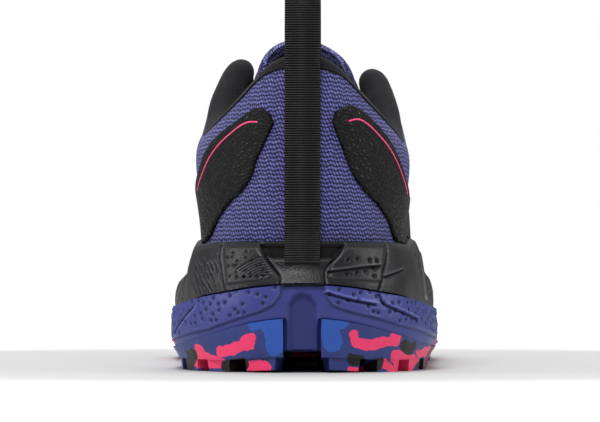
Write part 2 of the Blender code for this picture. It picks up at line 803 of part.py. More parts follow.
def make_overlay(name, table, medial, across, length, holes=()):
    rows = np.array(table)
    edges = through(np.arange(len(rows)), rows, np.linspace(0, len(rows) - 1, length))
    shares = np.linspace(0, 1, across)
    stations = edges[:, [0]] + (edges[:, [2]] - edges[:, [0]]) * shares
    rises = edges[:, [1]] + (edges[:, [3]] - edges[:, [1]]) * shares
    if medial:
        stations = STATIONS - stations
    rises = above_rim(stations, rises)
    top = offset_skin(stations, rises, SEAT_GAP + OVERLAY)
    bottom = offset_skin(stations, rises, SEAT_GAP)
    overlay = new_object(name, *sheet_parts(top, bottom))
    if holes:
        apply_boolean(overlay, [eyelet_cutter(holes, medial)], "DIFFERENCE")


def eyelet_cutter(rows, medial):
    """One mesh of short rods through the upper's wall, square to it, at every eyelet."""
    points, faces = [], []
    sides = 8
    for row in rows:
        station = STATIONS - row if medial else row
        rise = above_rim(station, EYELET_RISE)
        centre = skin(np.array(station), np.array(rise))
        axis = Vector(skin_normal(np.array(station), np.array(rise)))
        turn = axis.to_track_quat("Z", "Y")
        first = len(points)
        for level in (-3.2 * WALL, 2 * WALL):
            for side in range(sides):
                angle = 2 * math.pi * side / sides
                spoke = Vector((math.cos(angle), math.sin(angle), 0)) * EYELET_DIAMETER / 2
                points.append(Vector(centre) + turn @ (spoke + Vector((0, 0, level))))
        for side in range(sides):
            after = (side + 1) % sides
            faces.append((first + side, first + after, first + sides + after, first + sides + side))
        faces.append(tuple(first + side for side in reversed(range(sides))))
        faces.append(tuple(first + sides + side for side in range(sides)))
    return cutter_object("eyelet_cutter", points, faces)


# Insole


def make_insole(sole):
    """Plate inside the foot of the upper's wall, clear of its lowest inner facets."""
    stations = sole["stations"]
    foot = inner_skin(stations, INNER_RISES[-1])
    above = inner_skin(stations, INNER_RISES[-2])
    share = INSOLE / (above[:, 2] - foot[:, 2])
    beside = foot + (above - foot) * share[:, None]

    def inset_of(points):
        return ((sole["edge"] - points[:, :2]) * sole["outward"]).sum(axis=1)

    inset = np.maximum(inset_of(foot), inset_of(beside)) + GAP
    top = sole["bed"] + INSOLE
    rings = [
        sole_ring(sole, inset, sole["bed"]),
        sole_ring(sole, inset, top - 0.3 * INSOLE),
        sole_ring(sole, inset + 0.4 * INSOLE, top),
    ]
    return lofted("insole", rings)


# Tongue and laces share one surface that bridges the throat


def bridge(station, share, depth, reach):
    """Point over the throat. Share runs from -1 at the medial reach to 1 at the lateral one.

    Beyond the throat's edges the surface follows the upper at a depth beside its skin, out to
    the given reach along the rise; between the edges it arches over.
    """
    station, share = np.broadcast_arrays(np.asarray(station, float), share)
    reach = np.broadcast_to(reach, station.shape)
    edge = 0.985
    brink = 0.5
    sides = []
    for medial in (False, True):
        own = STATIONS - station if medial else station
        far = np.clip((np.abs(share) - brink) / (1 - brink), 0, 1)
        beside = offset_skin(own, edge - (edge - reach) * far, depth(own))
        top = offset_skin(own, np.full(own.shape, edge), depth(own))
        below = offset_skin(own, np.full(own.shape, edge - 0.06), depth(own))
        run = top - below
        run /= np.linalg.norm(run, axis=-1, keepdims=True)
        sides.append((beside, top, run))
    (lateral, lateral_top, lateral_run), (medial, medial_top, medial_run) = sides
    width = np.linalg.norm(lateral_top - medial_top, axis=-1, keepdims=True)
    place = np.clip((share + brink) / (2 * brink), 0, 1)[..., None]
    pull = width * FULLNESS
    start, end = medial_top, lateral_top
    arched = (
        start * (1 + 2 * place) * (1 - place) ** 2
        + medial_run * pull * place * (1 - place) ** 2
        + end * place**2 * (3 - 2 * place)
        - lateral_run * pull * place**2 * (place - 1)
    )
    share = share[..., None]
    return np.where(share > brink, lateral, np.where(share < -brink, medial, arched))


def grid_normals(grid):
    around = np.gradient(grid, axis=1)
    along = np.gradient(grid, axis=0)
    normal = np.cross(along, around)
    normal /= np.linalg.norm(normal, axis=-1, keepdims=True)
    return normal * np.sign(normal[..., 2:].mean())


def make_tongue():
    stations = np.array([12.75, 12.3, 11.6, 10.8, 10.0, 9.2, 8.4, 7.7, 7.15])
    shares = np.linspace(-1, 1, 15)
    reach = np.interp(stations, (7.15, 8.4, 12.75), (0.90, 0.86, 0.86))

    def depth(station):
        station = np.minimum(station, STATIONS - station)
        return -(wall_at(station, np.ones(np.shape(station))) + 2 * GAP)

    grid = bridge(stations[:, None], shares[None, :], depth, reach[:, None])
    slope = grid[-1] - grid[-3]
    slope /= np.linalg.norm(slope, axis=-1, keepdims=True)
    rise = TONGUE_RISE * (1 - 0.45 * shares**2)[:, None]
    away = slope[len(shares) // 2]
    middle = grid[-1, len(shares) // 2]
    inward = (middle - grid[-1]) * np.array([TONGUE_TAPER, 0, 0])
    extra = [grid[-1] + (away * rise + inward) * part for part in (0.5, 1.0)]
    grid = np.concatenate([grid, np.array(extra)])
    normals = grid_normals(grid)
    thick = TONGUE * np.interp(np.abs(shares), (0, 0.75, 1), (1, 1, 0.45))[None, :, None]
    lower = grid - normals * thick
    return new_object("tongue", *sheet_parts(grid, lower))


def ribbon(points, normals, width, thickness):
    """Rings of a flat band along a path, with its faces square to the normals."""
    course = np.gradient(points, axis=0)
    side = np.cross(course, normals)
    side /= np.linalg.norm(side, axis=1, keepdims=True)
    lift = np.cross(side, course)
    lift /= np.linalg.norm(lift, axis=1, keepdims=True)
    rings = []
    for index, point in enumerate(points):
        across, up = side[index] * width / 2, lift[index] * thickness / 2
        rings.append([point + across + up, point - across + up, point - across - up, point + across - up])
    return np.array(rings)


def ribbon_mesh(rings):
    count, corners = rings.shape[:2]
    faces = ring_faces(count, corners)
    faces.append(tuple(range(corners)))
    last = (count - 1) * corners
    faces.append(tuple(last + corner for corner in reversed(range(corners))))
    return rings.reshape(-1, 3), faces


def lace_path(low_row, high_row, side, lift, count=9):
    """Points and normals of a lace, from above a low eyelet to the far edge of the throat.

    There it is about to pass under the edge, on its way up through the high row's eyelet.
    Side is 1 for a lace that starts at the medial eyelet and -1 at the lateral one.
    """
    travel = np.linspace(-1, LACE_DIVE, count)
    share = side * travel
    station = low_row + (high_row - low_row) * (travel + 1) / 2
    above = SEAT_GAP + OVERLAY + GAP + LACE_THICKNESS / 2
    below = GAP + LACE_THICKNESS / 2 - WALL - 2 * GAP
    offset = above + (below - above) * smooth((travel + 0.5) / (LACE_DIVE + 0.5))

    def depth(own):
        return offset

    reach = above_rim(station, EYELET_RISE)

    def at(place, cross):
        return bridge(place, cross, depth, reach)

    points = at(station, share)
    run = at(station, share + 0.05) - at(station, share - 0.05)
    climb = at(station + 0.05, share) - at(station - 0.05, share)
    normals = np.cross(run, climb)
    normals /= np.linalg.norm(normals, axis=1, keepdims=True)
    points += normals * (lift * (1 - share**2))[:, None]
    return points, normals


def make_laces():
    for index, (low, high) in enumerate(zip(EYELET_ROWS, EYELET_ROWS[1:])):
        over = lace_path(low, high, 1, LACE_LIFT + LACE_THICKNESS / 2)
        under = lace_path(low, high, -1, LACE_LIFT)
        rising = ribbon_mesh(ribbon(*over, LACE_WIDTH, LACE_THICKNESS))
        falling = ribbon_mesh(ribbon(*under, LACE_WIDTH, LACE_THICKNESS))
        crossing = new_object(f"lace_crossing_{index + 1}", *rising)
        apply_boolean(crossing, [cutter_object("lace_partner", *falling)], "UNION")


# Pull loop at the heel


def make_pull_loop(carrier, upper):
    """Strap up the back of the heel, over in a loop and down inside the collar."""
    trees = [surface_tree(piece) for piece in (carrier, upper)]
    heights = np.linspace(LOOP_LOW * RIM_HEIGHT, 0.985 * COLLAR_HEIGHT, 60)
    behind = []
    for height in heights:
        origin = Vector((HEEL_AXIS, -SHOE_LENGTH, height))
        hits = [tree.ray_cast(origin, Vector((0, 1, 0)))[0] for tree in trees]
        behind.append(min(hit.y for hit in hits if hit))
    behind = np.array(behind)
    window = np.abs(heights[:, None] - heights[None, :]) < 3 * MM
    outermost = np.where(window, behind[None, :], 1).min(axis=1)
    soft = np.exp(-((heights[:, None] - heights[None, :]) / (2.4 * MM)) ** 2)
    outermost = (soft * outermost).sum(axis=1) / soft.sum(axis=1)
    clear = GAP + LOOP_THICKNESS / 2
    keep = np.linspace(0, len(heights) - 1, 14).round().astype(int)
    outer = [(outermost[place] - clear, heights[place]) for place in keep]
    inner = []
    for rise in (1.0, 0.95, 0.90, 0.86):
        face = inner_skin(np.linspace(-1, 1, 21), rise)
        faced = face[np.abs(face[:, 0] - HEEL_AXIS) < LOOP_WIDTH / 2 + GAP]
        inner.append((faced[:, 1].max() + clear + GAP, faced[:, 2].mean()))
    apex = COLLAR_HEIGHT + LOOP_RISE + LOOP_THICKNESS / 2
    left, right = outer[-1][0], inner[0][0]
    base = outer[-1][1] + 0.3 * LOOP_RISE
    centre, half = (left + right) / 2, (right - left) / 2
    arch = []
    for angle in np.linspace(180, 0, 9):
        turn = math.radians(angle)
        arch.append((centre + half * math.cos(turn), base + (apex - base) * math.sin(turn)))
    path = outer + arch + inner
    points = np.array([(HEEL_AXIS, y, z) for y, z in path])
    course = np.gradient(points, axis=0)
    normals = np.cross(course, np.array([1.0, 0, 0]))
    normals /= np.linalg.norm(normals, axis=1, keepdims=True)
    rings = ribbon(points, normals, LOOP_WIDTH, LOOP_THICKNESS)
    new_object("pull_loop", *ribbon_mesh(rings))


# Cuts in the sole


def pocket_cutter(name, tree, grid, direction, depth):
    """Cutter that sinks a patch of a surface, the patch given as a grid of places to project."""
    direction = Vector(direction)
    outer, inner = [], []
    for row in grid:
        for place in row:
            origin = Vector(place) - direction * SHOE_LENGTH
            hit, normal = tree.ray_cast(origin, direction)[:2]
            outer.append(hit - direction * 2 * MM)
            inner.append(hit + direction * depth)
    rows, columns = len(grid), len(grid[0])
    shape = (rows, columns, 3)
    top, bottom = np.array(outer).reshape(shape), np.array(inner).reshape(shape)
    return cutter_object(name, *sheet_parts(top, bottom))


def groove_cutter(name, tree, places, direction, width, depth):
    """Cutter with a V section along a course projected on a surface."""
    direction = Vector(direction)
    points, normals = [], []
    for place in places:
        hit, normal = tree.ray_cast(Vector(place) - direction * SHOE_LENGTH, direction)[:2]
        points.append(hit)
        normals.append(normal)
    points, normals = np.array(points), np.array(normals)
    course = np.gradient(points, axis=0)
    side = np.cross(course, normals)
    side /= np.linalg.norm(side, axis=1, keepdims=True)
    rings = []
    for point, normal, across in zip(points, normals, side):
        proud = point + normal * depth
        rings.append([proud + across * width, proud - across * width, point - normal * depth])
    return cutter_object(name, *ribbon_mesh(np.array(rings)))


def cut_heel(midsole, carrier):
    back = (0, 1, 0)
    half = HEEL_WIDTH / 2
    tree = surface_tree(carrier)
    rows = []
    for level in (0, 0.5, 1):
        height = RIM_HEIGHT * 0.972 - WINDOW_HEIGHT * level
        reach = WINDOW_WIDTH / 2 * (1 - 0.3 * level)
        rows.append([(HEEL_AXIS + reach * share, 0, height) for share in np.linspace(-1, 1, 7)])
    cutters = [pocket_cutter("window_cutter", tree, rows, back, WINDOW_DEPTH)]
    for course in HEEL_CREASES:
        places = [(HEEL_AXIS + across * half, 0, up * RIM_HEIGHT) for across, up in course]
        cutters.append(
            groove_cutter("crease_cutter", tree, places, back, 0.7 * PANEL_DEPTH, PANEL_DEPTH)
        )
    apply_boolean(carrier, cutters, "DIFFERENCE")
    tree = surface_tree(midsole)
    rows = []
    for level in np.linspace(0, 1, 5):
        height = RIM_HEIGHT * (0.20 + 0.38 * level)
        reach = CHANNEL_WIDTH * 0.36 * math.sqrt(max(1 - max(level - 0.6, 0) ** 2 * 5.6, 0.1))
        rows.append([(HEEL_AXIS + reach * share, 0, height) for share in (-1, -0.5, 0, 0.5, 1)])
    cutters = [pocket_cutter("channel_cutter", tree, rows, back, 2 * PANEL_DEPTH)]
    for course in SIDE_GROOVES:
        rows = through(np.arange(len(course)), course, np.linspace(0, len(course) - 1, 10))
        places = [(0, float(length_to_y(along)), up * RIM_HEIGHT) for along, up in rows]
        cutters.append(
            groove_cutter("side_cutter", tree, places, (-1, 0, 0), PANEL_DEPTH, PANEL_DEPTH)
        )
    apply_boolean(midsole, cutters, "DIFFERENCE")


# Lugs


def lug_mesh(corners, points, faces):
    """Adds one tapered block. Its corners are given in plan, at the height of the sheet."""
    corners = np.array(corners, float)
    centre = corners.mean(axis=0)
    first = len(points)
    count = len(corners)
    towards = centre - corners
    shrink = corners + towards / np.linalg.norm(towards, axis=1, keepdims=True) * LUG_DRAFT
    for corner, low in zip(corners, shrink):
        points.append((*corner, tread_height(corner[1], 1) + LUG_HEIGHT + LUG_BITE))
    for low in shrink:
        points.append((*low, float(tread_height(low[1], 1))))
    for place in range(count):
        after = (place + 1) % count
        faces.append((first + place, first + after, first + count + after, first + count + place))
    faces.append(tuple(first + place for place in reversed(range(count))))
    faces.append(tuple(first + count + place for place in range(count)))


def edge_lugs(points, faces):
    length, width = EDGE_LUG
    for side in (1, -1):
        start = 0.0 if side > 0 else OUTLINE_TURN
        reach = abs(OUTLINE_KNOTS[TOE_ROW] - start)
        count = round((reach - LUG_PITCH) / LUG_PITCH)
        for number in range(count + 1):
            middle = 0.78 * LUG_PITCH + (reach - 1.56 * LUG_PITCH) * number / count
            ends = start + side * (middle + np.array([-0.5, 0.5]) * length)
            edge, outward = outline(ends)
            along = edge[:, 1].mean() / SHOE_LENGTH + 0.5
            if 0.33 < along < 0.49:
                continue
            near, far = TREAD_INSET + 0.4 * MM, TREAD_INSET + 0.4 * MM + width
            quad = [edge[0] - outward[0] * near, edge[1] - outward[1] * near]
            quad += [edge[1] - outward[1] * far, edge[0] - outward[0] * far]
            lug_mesh(quad, points, faces)


def half_width_at(along, lateral):
    edge, _ = outline(turn_at(along, lateral))
    return abs(float(edge[0] - centre_line(along)))


def arm_lugs(points, faces):
    taken = TREAD_INSET + EDGE_LUG[1] + 2 * ARM_CLEAR
    for along in ARM_ROWS:
        y = float(length_to_y(along))
        middle = float(centre_line(along))
        split = y < CHANNEL_LENGTH - SHOE_LENGTH / 2
        near = CHANNEL_WIDTH / 2 + LUG_DRAFT if split else ARM_CLEAR
        for side in (1, -1):
            widths = [half_width_at(along + step, side > 0) for step in (-0.03, 0.02)]
            far = min(widths) - taken
            drop = (far - near) * ARM_SWEEP
            quad = [(middle + side * near, y + ARM_LUG / 2)]
            quad += [(middle + side * far, y - drop + ARM_LUG / 2)]
            quad += [(middle + side * far, y - drop - ARM_LUG / 2)]
            quad += [(middle + side * near, y - ARM_LUG / 2)]
            lug_mesh(quad, points, faces)


def add_lugs(outsole):
    points, faces = [], []
    edge_lugs(points, faces)
    arm_lugs(points, faces)
    apply_boolean(outsole, [cutter_object("lug_blocks", points, faces)], "UNION")
    back = -SHOE_LENGTH / 2
    half = CHANNEL_WIDTH / 2
    corners = [(HEEL_AXIS - half, back - half), (HEEL_AXIS + half, back - half)]
    corners += [(HEEL_AXIS + half, back + CHANNEL_LENGTH - half)]
    corners += [(HEEL_AXIS, back + CHANNEL_LENGTH)]
    corners += [(HEEL_AXIS - half, back + CHANNEL_LENGTH - half)]
    count = len(corners)
    slot_points = [(*corner, -LUG_HEIGHT) for corner in corners]
    slot_points += [(*corner, RIM_HEIGHT) for corner in corners]
    slot_faces = [(a, (a + 1) % count, count + (a + 1) % count, count + a) for a in range(count)]
    slot_faces.append(tuple(reversed(range(count))))
    slot_faces.append(tuple(range(count, 2 * count)))
    slot = cutter_object("channel_slot", slot_points, slot_faces)
    apply_boolean(outsole, [slot], "DIFFERENCE")


def main():
    for leftover in list(bpy.data.objects):
        bpy.data.objects.remove(leftover)
    sole = sole_columns()
    outsole = make_outsole(sole)
    add_lugs(outsole)
    midsole = make_midsole(sole)
    carrier = make_carrier(sole)
    upper = make_upper(sole)
    make_pull_loop(carrier, upper)
    cut_heel(midsole, carrier)
    make_insole(sole)
    make_overlay("heel_overlay_lateral", HEEL_LATERAL, False, 5, 27)
    make_overlay("heel_overlay_medial", HEEL_MEDIAL, True, 5, 27)
    make_overlay("toe_cap", TOE_CAP, False, 5, 27)
    make_overlay("eyestay_lateral", EYESTAY, False, 4, 15, EYELET_ROWS)
    make_overlay("eyestay_medial", EYESTAY, True, 4, 15, EYELET_ROWS)
    make_tongue()
    make_laces()


main()
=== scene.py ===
import math
import bpy
import bmesh
import numpy as np
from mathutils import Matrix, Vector
from mathutils.bvhtree import BVHTree


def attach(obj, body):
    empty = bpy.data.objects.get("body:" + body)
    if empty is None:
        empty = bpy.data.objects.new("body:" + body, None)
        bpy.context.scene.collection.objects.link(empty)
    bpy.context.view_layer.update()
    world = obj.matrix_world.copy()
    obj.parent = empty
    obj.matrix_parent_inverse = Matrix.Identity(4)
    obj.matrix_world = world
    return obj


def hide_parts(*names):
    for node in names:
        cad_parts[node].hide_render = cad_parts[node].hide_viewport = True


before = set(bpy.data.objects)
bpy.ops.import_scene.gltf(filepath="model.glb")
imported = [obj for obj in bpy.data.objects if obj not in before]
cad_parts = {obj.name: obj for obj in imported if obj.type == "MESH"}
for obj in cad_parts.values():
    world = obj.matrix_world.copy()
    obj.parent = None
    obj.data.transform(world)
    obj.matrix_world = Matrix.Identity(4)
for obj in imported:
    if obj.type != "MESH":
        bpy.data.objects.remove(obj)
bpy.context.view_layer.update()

mm = 0.001

shoe = {
    "length": 286 * mm,
    "ballWidth": 104 * mm,
    "heelWidth": 90 * mm,
    "collarHeight": 101 * mm,
    "rimHeight": 43.5 * mm,
    "bedHeight": 32 * mm,
    "heelAxis": 3.5 * mm,
    "middleAxis": 1 * mm,
    "toeSwing": -10 * mm,
    "heelLedge": 9.4 * mm,
    "foreLedge": 6.4 * mm,
    "wall": 2.4 * mm,
    "collarPad": 9.4 * mm,
    "gap": 0.3 * mm,
    "seatGap": 0.5 * mm,
    "overlay": 0.9 * mm,
}

# Plan outline of the sole: share of the length, half width as a share of the heel's and of the ball's
outlineTable = (
    (0.000, 0.00, 0.000), (0.016, 0.41, 0.000), (0.056, 0.71, 0.000), (0.119, 0.905, 0.000),
    (0.210, 0.985, 0.000), (0.332, 0.00, 0.870), (0.472, 0.00, 0.915), (0.622, 0.00, 0.972),
    (0.734, 0.00, 0.940), (0.839, 0.00, 0.840), (0.923, 0.00, 0.635), (0.976, 0.00, 0.375),
    (1.000, 0.00, 0.000), (0.982, 0.00, -0.340), (0.934, 0.00, -0.620), (0.839, 0.00, -0.890),
    (0.705, 0.00, -1.012), (0.587, 0.00, -0.950), (0.455, 0.00, -0.865), (0.332, 0.00, -0.860),
    (0.210, -1.015, 0.000), (0.119, -0.935, 0.000), (0.056, -0.71, 0.000), (0.016, -0.41, 0.000),
)
toeRow = 12

# Heights along the shoe: share of the length, bed, rubber wrap, step between the foams, rim
heightTable = (
    (0.000, 1.000, 0.415, 0.672, 0.995), (0.030, 0.998, 0.330, 0.618, 0.995),
    (0.060, 0.996, 0.270, 0.585, 0.990), (0.100, 0.992, 0.215, 0.545, 0.980),
    (0.150, 0.988, 0.185, 0.510, 0.970), (0.185, 0.984, 0.180, 0.500, 0.960),
    (0.230, 0.975, 0.175, 0.485, 1.000), (0.300, 0.950, 0.170, 0.470, 1.035),
    (0.400, 0.905, 0.165, 0.450, 0.990), (0.500, 0.845, 0.165, 0.430, 0.845),
    (0.620, 0.780, 0.165, 0.415, 0.745), (0.740, 0.770, 0.180, 0.425, 0.715),
    (0.850, 0.810, 0.265, 0.480, 0.750), (0.940, 0.890, 0.450, 0.590, 0.815),
    (1.000, 0.960, 0.580, 0.680, 0.870),
)

# Meridians of the upper: foot along, topline along, topline half width, topline height, then the
# handles foot out, foot up, top out, top down, and the share of collar padding
lateralTable = (
    (0.000, 0.031, 0.000, 1.000, 0.045, 0.25, 0.040, 0.22, 1.00),
    (0.032, 0.044, 0.225, 0.980, 0.040, 0.24, 0.045, 0.20, 1.00),
    (0.070, 0.074, 0.390, 0.902, 0.020, 0.22, 0.055, 0.17, 1.00),
    (0.126, 0.126, 0.550, 0.823, -0.025, 0.18, 0.080, 0.10, 1.00),
    (0.196, 0.196, 0.622, 0.783, -0.060, 0.16, 0.090, 0.06, 1.00),
    (0.259, 0.255, 0.622, 0.823, -0.055, 0.18, 0.085, 0.09, 1.05),
    (0.315, 0.305, 0.595, 0.935, -0.030, 0.22, 0.070, 0.17, 1.08),
    (0.364, 0.345, 0.540, 1.015, -0.010, 0.24, 0.070, 0.22, 1.05),
    (0.427, 0.398, 0.440, 0.975, -0.010, 0.22, 0.090, 0.17, 0.35),
    (0.507, 0.470, 0.375, 0.870, -0.020, 0.19, 0.120, 0.11, 0.00),
    (0.594, 0.550, 0.335, 0.757, -0.025, 0.17, 0.150, 0.08, 0.00),
    (0.699, 0.618, 0.285, 0.670, -0.015, 0.18, 0.210, 0.055, 0.00),
    (0.811, 0.661, 0.185, 0.622, 0.005, 0.20, 0.330, 0.050, 0.00),
    (0.916, 0.676, 0.090, 0.606, 0.010, 0.21, 0.480, 0.050, 0.00),
)
toeMeridian = (1.000, 0.682, 0.000, 0.602, 0.010, 0.22, 0.580, 0.045, 0.00)
medialTable = (
    (0.032, 0.044, 0.225, 0.982, 0.040, 0.24, 0.045, 0.20, 1.00),
    (0.070, 0.074, 0.390, 0.908, 0.020, 0.22, 0.055, 0.17, 1.00),
    (0.126, 0.126, 0.560, 0.835, -0.025, 0.18, 0.090, 0.10, 1.00),
    (0.196, 0.196, 0.650, 0.807, -0.060, 0.16, 0.105, 0.06, 1.00),
    (0.259, 0.255, 0.655, 0.850, -0.055, 0.18, 0.095, 0.09, 1.05),
    (0.315, 0.305, 0.625, 0.965, -0.030, 0.22, 0.070, 0.17, 1.08),
    (0.364, 0.345, 0.540, 1.050, -0.010, 0.24, 0.070, 0.22, 1.05),
    (0.427, 0.398, 0.420, 0.990, -0.010, 0.22, 0.090, 0.17, 0.35),
    (0.507, 0.470, 0.365, 0.875, -0.010, 0.20, 0.125, 0.11, 0.00),
    (0.594, 0.550, 0.330, 0.758, -0.010, 0.18, 0.160, 0.08, 0.00),
    (0.699, 0.618, 0.280, 0.670, -0.005, 0.18, 0.215, 0.055, 0.00),
    *lateralTable[-2:],
)
toeStation = len(lateralTable)
stationCount = 2 * toeStation


def smoothStep(value):
    value = np.clip(value, 0.0, 1.0)
    return value * value * (3 - 2 * value)


def through(knots, values, at, period=None):  # smooth curve through rows of values at rising knots
    knots, values = np.asarray(knots, float), np.asarray(values, float)
    shape = values.shape[1:]
    values = values.reshape(len(values), -1)
    if period is None:
        before, after = 2 * knots[0] - knots[1], 2 * knots[-1] - knots[-2]
        first, last = 2 * values[0] - values[1], 2 * values[-1] - values[-2]
    else:
        at = np.mod(at, period)
        knots = np.append(knots, knots[0] + period)
        values = np.concatenate([values, values[:1]])
        before, after = knots[-2] - period, knots[1] + period
        first, last = values[-2], values[1]
    spans = np.diff(np.concatenate([[before], knots, [after]]))
    slopes = np.diff(np.concatenate([[first], values, [last]]), axis=0) / spans[:, None]
    weights = spans[:-1] + spans[1:]
    tangents = (slopes[:-1] * spans[1:, None] + slopes[1:] * spans[:-1, None]) / weights[:, None]
    at = np.clip(np.asarray(at, float), knots[0], knots[-1])
    index = np.clip(np.searchsorted(knots, at, side="right") - 1, 0, len(knots) - 2)
    span = (knots[index + 1] - knots[index])[..., None]
    share = (at - knots[index])[..., None] / span
    made = (
        values[index] * (1 + 2 * share) * (1 - share) ** 2
        + tangents[index] * span * share * (1 - share) ** 2
        + values[index + 1] * share**2 * (3 - 2 * share)
        + tangents[index + 1] * span * share**2 * (share - 1)
    )
    return made.reshape(at.shape + shape)


def arcLengths(grid, axis=0):  # distance travelled along one axis of a grid of points
    steps = np.linalg.norm(np.diff(grid, axis=axis), axis=-1)
    return np.insert(np.cumsum(steps, axis=axis), 0, 0.0, axis=axis)


def looped(points):  # the points, with the first one again at the end
    return np.concatenate([points, points[:1]])


def resampled(values, count, knots=None):  # evenly spaced rows of the smooth curve through rows of values
    knots = np.arange(len(values)) if knots is None else knots
    return through(knots, values, np.linspace(0, knots[-1], count))


def unit(vectors):
    return vectors / np.maximum(np.linalg.norm(vectors, axis=-1, keepdims=True), 1e-12)


def heightAt(column, along):
    rows = np.array(heightTable)
    return through(rows[:, 0], rows[:, column], along)


def centreLine(along):
    heel = (shoe["heelAxis"] - shoe["middleAxis"]) * (1 - smoothStep((along - 0.25) / 0.35))
    toe = shoe["toeSwing"] * np.clip((along - 0.70) / 0.30, 0, None) ** 1.6
    return shoe["middleAxis"] + heel + toe


def yAt(along):
    return (np.asarray(along) - 0.5) * shoe["length"]


outlineRows = np.array(outlineTable)
outlineAcross = outlineRows[:, 1] * shoe["heelWidth"] / 2 + outlineRows[:, 2] * shoe["ballWidth"] / 2
outlinePoints = np.stack([centreLine(outlineRows[:, 0]) + outlineAcross, yAt(outlineRows[:, 0])], 1)
outlineKnots = arcLengths(looped(outlinePoints))
outlineLength = outlineKnots[-1]


def outline(turn):  # point and outward direction at a distance of travel round the sole
    def at(place):
        return through(outlineKnots[:-1], outlinePoints, place, outlineLength)

    course = unit(at(turn + 0.2 * mm) - at(turn - 0.2 * mm))
    return at(turn), np.stack([course[..., 1], -course[..., 0]], -1)


def turnAt(along, lateral):
    toe = outlineKnots[toeRow]
    turns = np.linspace(0, toe, 400) if lateral else np.linspace(outlineLength, toe, 400)
    return float(np.interp(yAt(along), np.maximum.accumulate(outline(turns)[0][:, 1]), turns))


def meridianRows():
    rows = []
    sides = [(row, 1) for row in lateralTable] + [(toeMeridian, 1)]
    sides += [(row, -1) for row in reversed(medialTable)]
    for (foot, top, halfWidth, height, *rest), side in sides:
        turn = turnAt(foot, side > 0) if 0 < foot < 1 else foot * outlineKnots[toeRow]
        x = centreLine(np.float64(top)) + side * halfWidth * shoe["ballWidth"] / 2
        rows.append([turn / outlineLength, x, yAt(top), height * shoe["collarHeight"], *rest])
    return np.array(rows, float)


meridians = meridianRows()
topKnots = arcLengths(looped(meridians[:, 1:4]))
stationKnots = (np.append(meridians[:, 0], 1.0) + topKnots / topKnots[-1]) / 2
tracks = np.concatenate([meridians[:, :1] - stationKnots[:-1, None], meridians[:, 1:]], 1)


def meridian(station):
    station = np.asarray(station, float)
    place = np.interp(np.mod(station, stationCount), np.arange(stationCount + 1), stationKnots)
    track = through(stationKnots[:-1], tracks, place, 1.0)
    turn = (place + track[..., 0]) * outlineLength
    edge, outward = outline(turn)
    along = edge[..., 1] / shoe["length"] + 0.5
    ledge = shoe["heelLedge"]
    ledge = ledge + (shoe["foreLedge"] - ledge) * smoothStep((along - 0.28) / 0.36)
    bed = heightAt(1, along) * shoe["bedHeight"]
    foot = np.concatenate([edge - outward * ledge[..., None], bed[..., None]], -1)
    out = np.concatenate([outward, np.zeros_like(bed)[..., None]], -1)
    hold = track[..., 4:8, None] * shoe["collarHeight"]
    up = np.array([0.0, 0.0, 1.0])
    low = foot + out * hold[..., 0, :] + up * hold[..., 1, :]
    high = track[..., 1:4] + out * hold[..., 2, :] - up * hold[..., 3, :]
    return {"turn": turn, "along": along, "pad": track[..., 8], "arc": (foot, low, high, track[..., 1:4])}


def skin(station, rise):  # outer face of the upper: rise 0 at the foot, 1 at the topline
    foot, low, high, top = meridian(station)["arc"]
    rise = np.asarray(rise, float)[..., None]
    left = 1 - rise
    return foot * left**3 + low * 3 * left**2 * rise + high * 3 * left * rise**2 + top * rise**3


def skinNormal(station, rise):
    low, high = np.clip(rise - 0.02, 0, 1), np.clip(rise + 0.02, 0, 1)
    around = skin(station + 0.02, rise) - skin(station - 0.02, rise)
    return unit(np.cross(around, skin(station, high) - skin(station, low)))


def wallAt(station, rise):
    padded = np.clip(meridian(station)["pad"], 0, None) * shoe["collarPad"]
    growth = smoothStep((np.asarray(rise) - 0.42) / 0.52)
    return np.maximum(shoe["wall"] + (padded - shoe["wall"]) * growth, shoe["wall"])


def besideSkin(station, rise, distance):
    station = np.asarray(station, float)
    rise = rise + np.zeros_like(station)
    distance = np.asarray(distance) + np.zeros_like(station)
    return skin(station, rise) + skinNormal(station, rise) * distance[..., None]


def riseAtHeight(stations, heights):
    rises = np.linspace(0, 0.6, 60)
    lines = np.maximum.accumulate(skin(stations[:, None], rises)[..., 2], axis=1)
    return np.array([np.interp(height, line, rises) for height, line in zip(heights, lines)])


rimStations = np.linspace(0, stationCount, 4 * stationCount + 1)
rimRises = riseAtHeight(rimStations, heightAt(4, meridian(rimStations)["along"]) * shoe["rimHeight"])


def aboveRim(station, share):
    low = np.interp(np.mod(station, stationCount), rimStations, rimRises)
    return low + (1 - low) * share


def sided(station, medial):  # the medial side counts back from the last station
    return stationCount - station if medial else station


def rounded(share):  # quarter circle from 0 to 1
    return np.sqrt(1 - (1 - np.clip(share, 0, 1)) ** 2)


print("shapes done, outline", round(outlineLength, 4))


# Meshes from grids of points

def gridFaces(rows, columns, closed=False):
    row, column = np.meshgrid(np.arange(rows - 1), np.arange(columns - (not closed)), indexing="ij")
    after = (column + 1) % columns
    low, high = row * columns, (row + 1) * columns
    return np.stack([low + column, low + after, high + after, high + column], -1).reshape(-1, 4)


def addObject(name, data):
    made = bpy.data.objects.new(name, data)
    bpy.context.scene.collection.objects.link(made)
    return made


def cornerVertices(mesh):
    corners = np.zeros(len(mesh.loops), np.int32)
    mesh.loops.foreach_get("vertex_index", corners)
    return corners


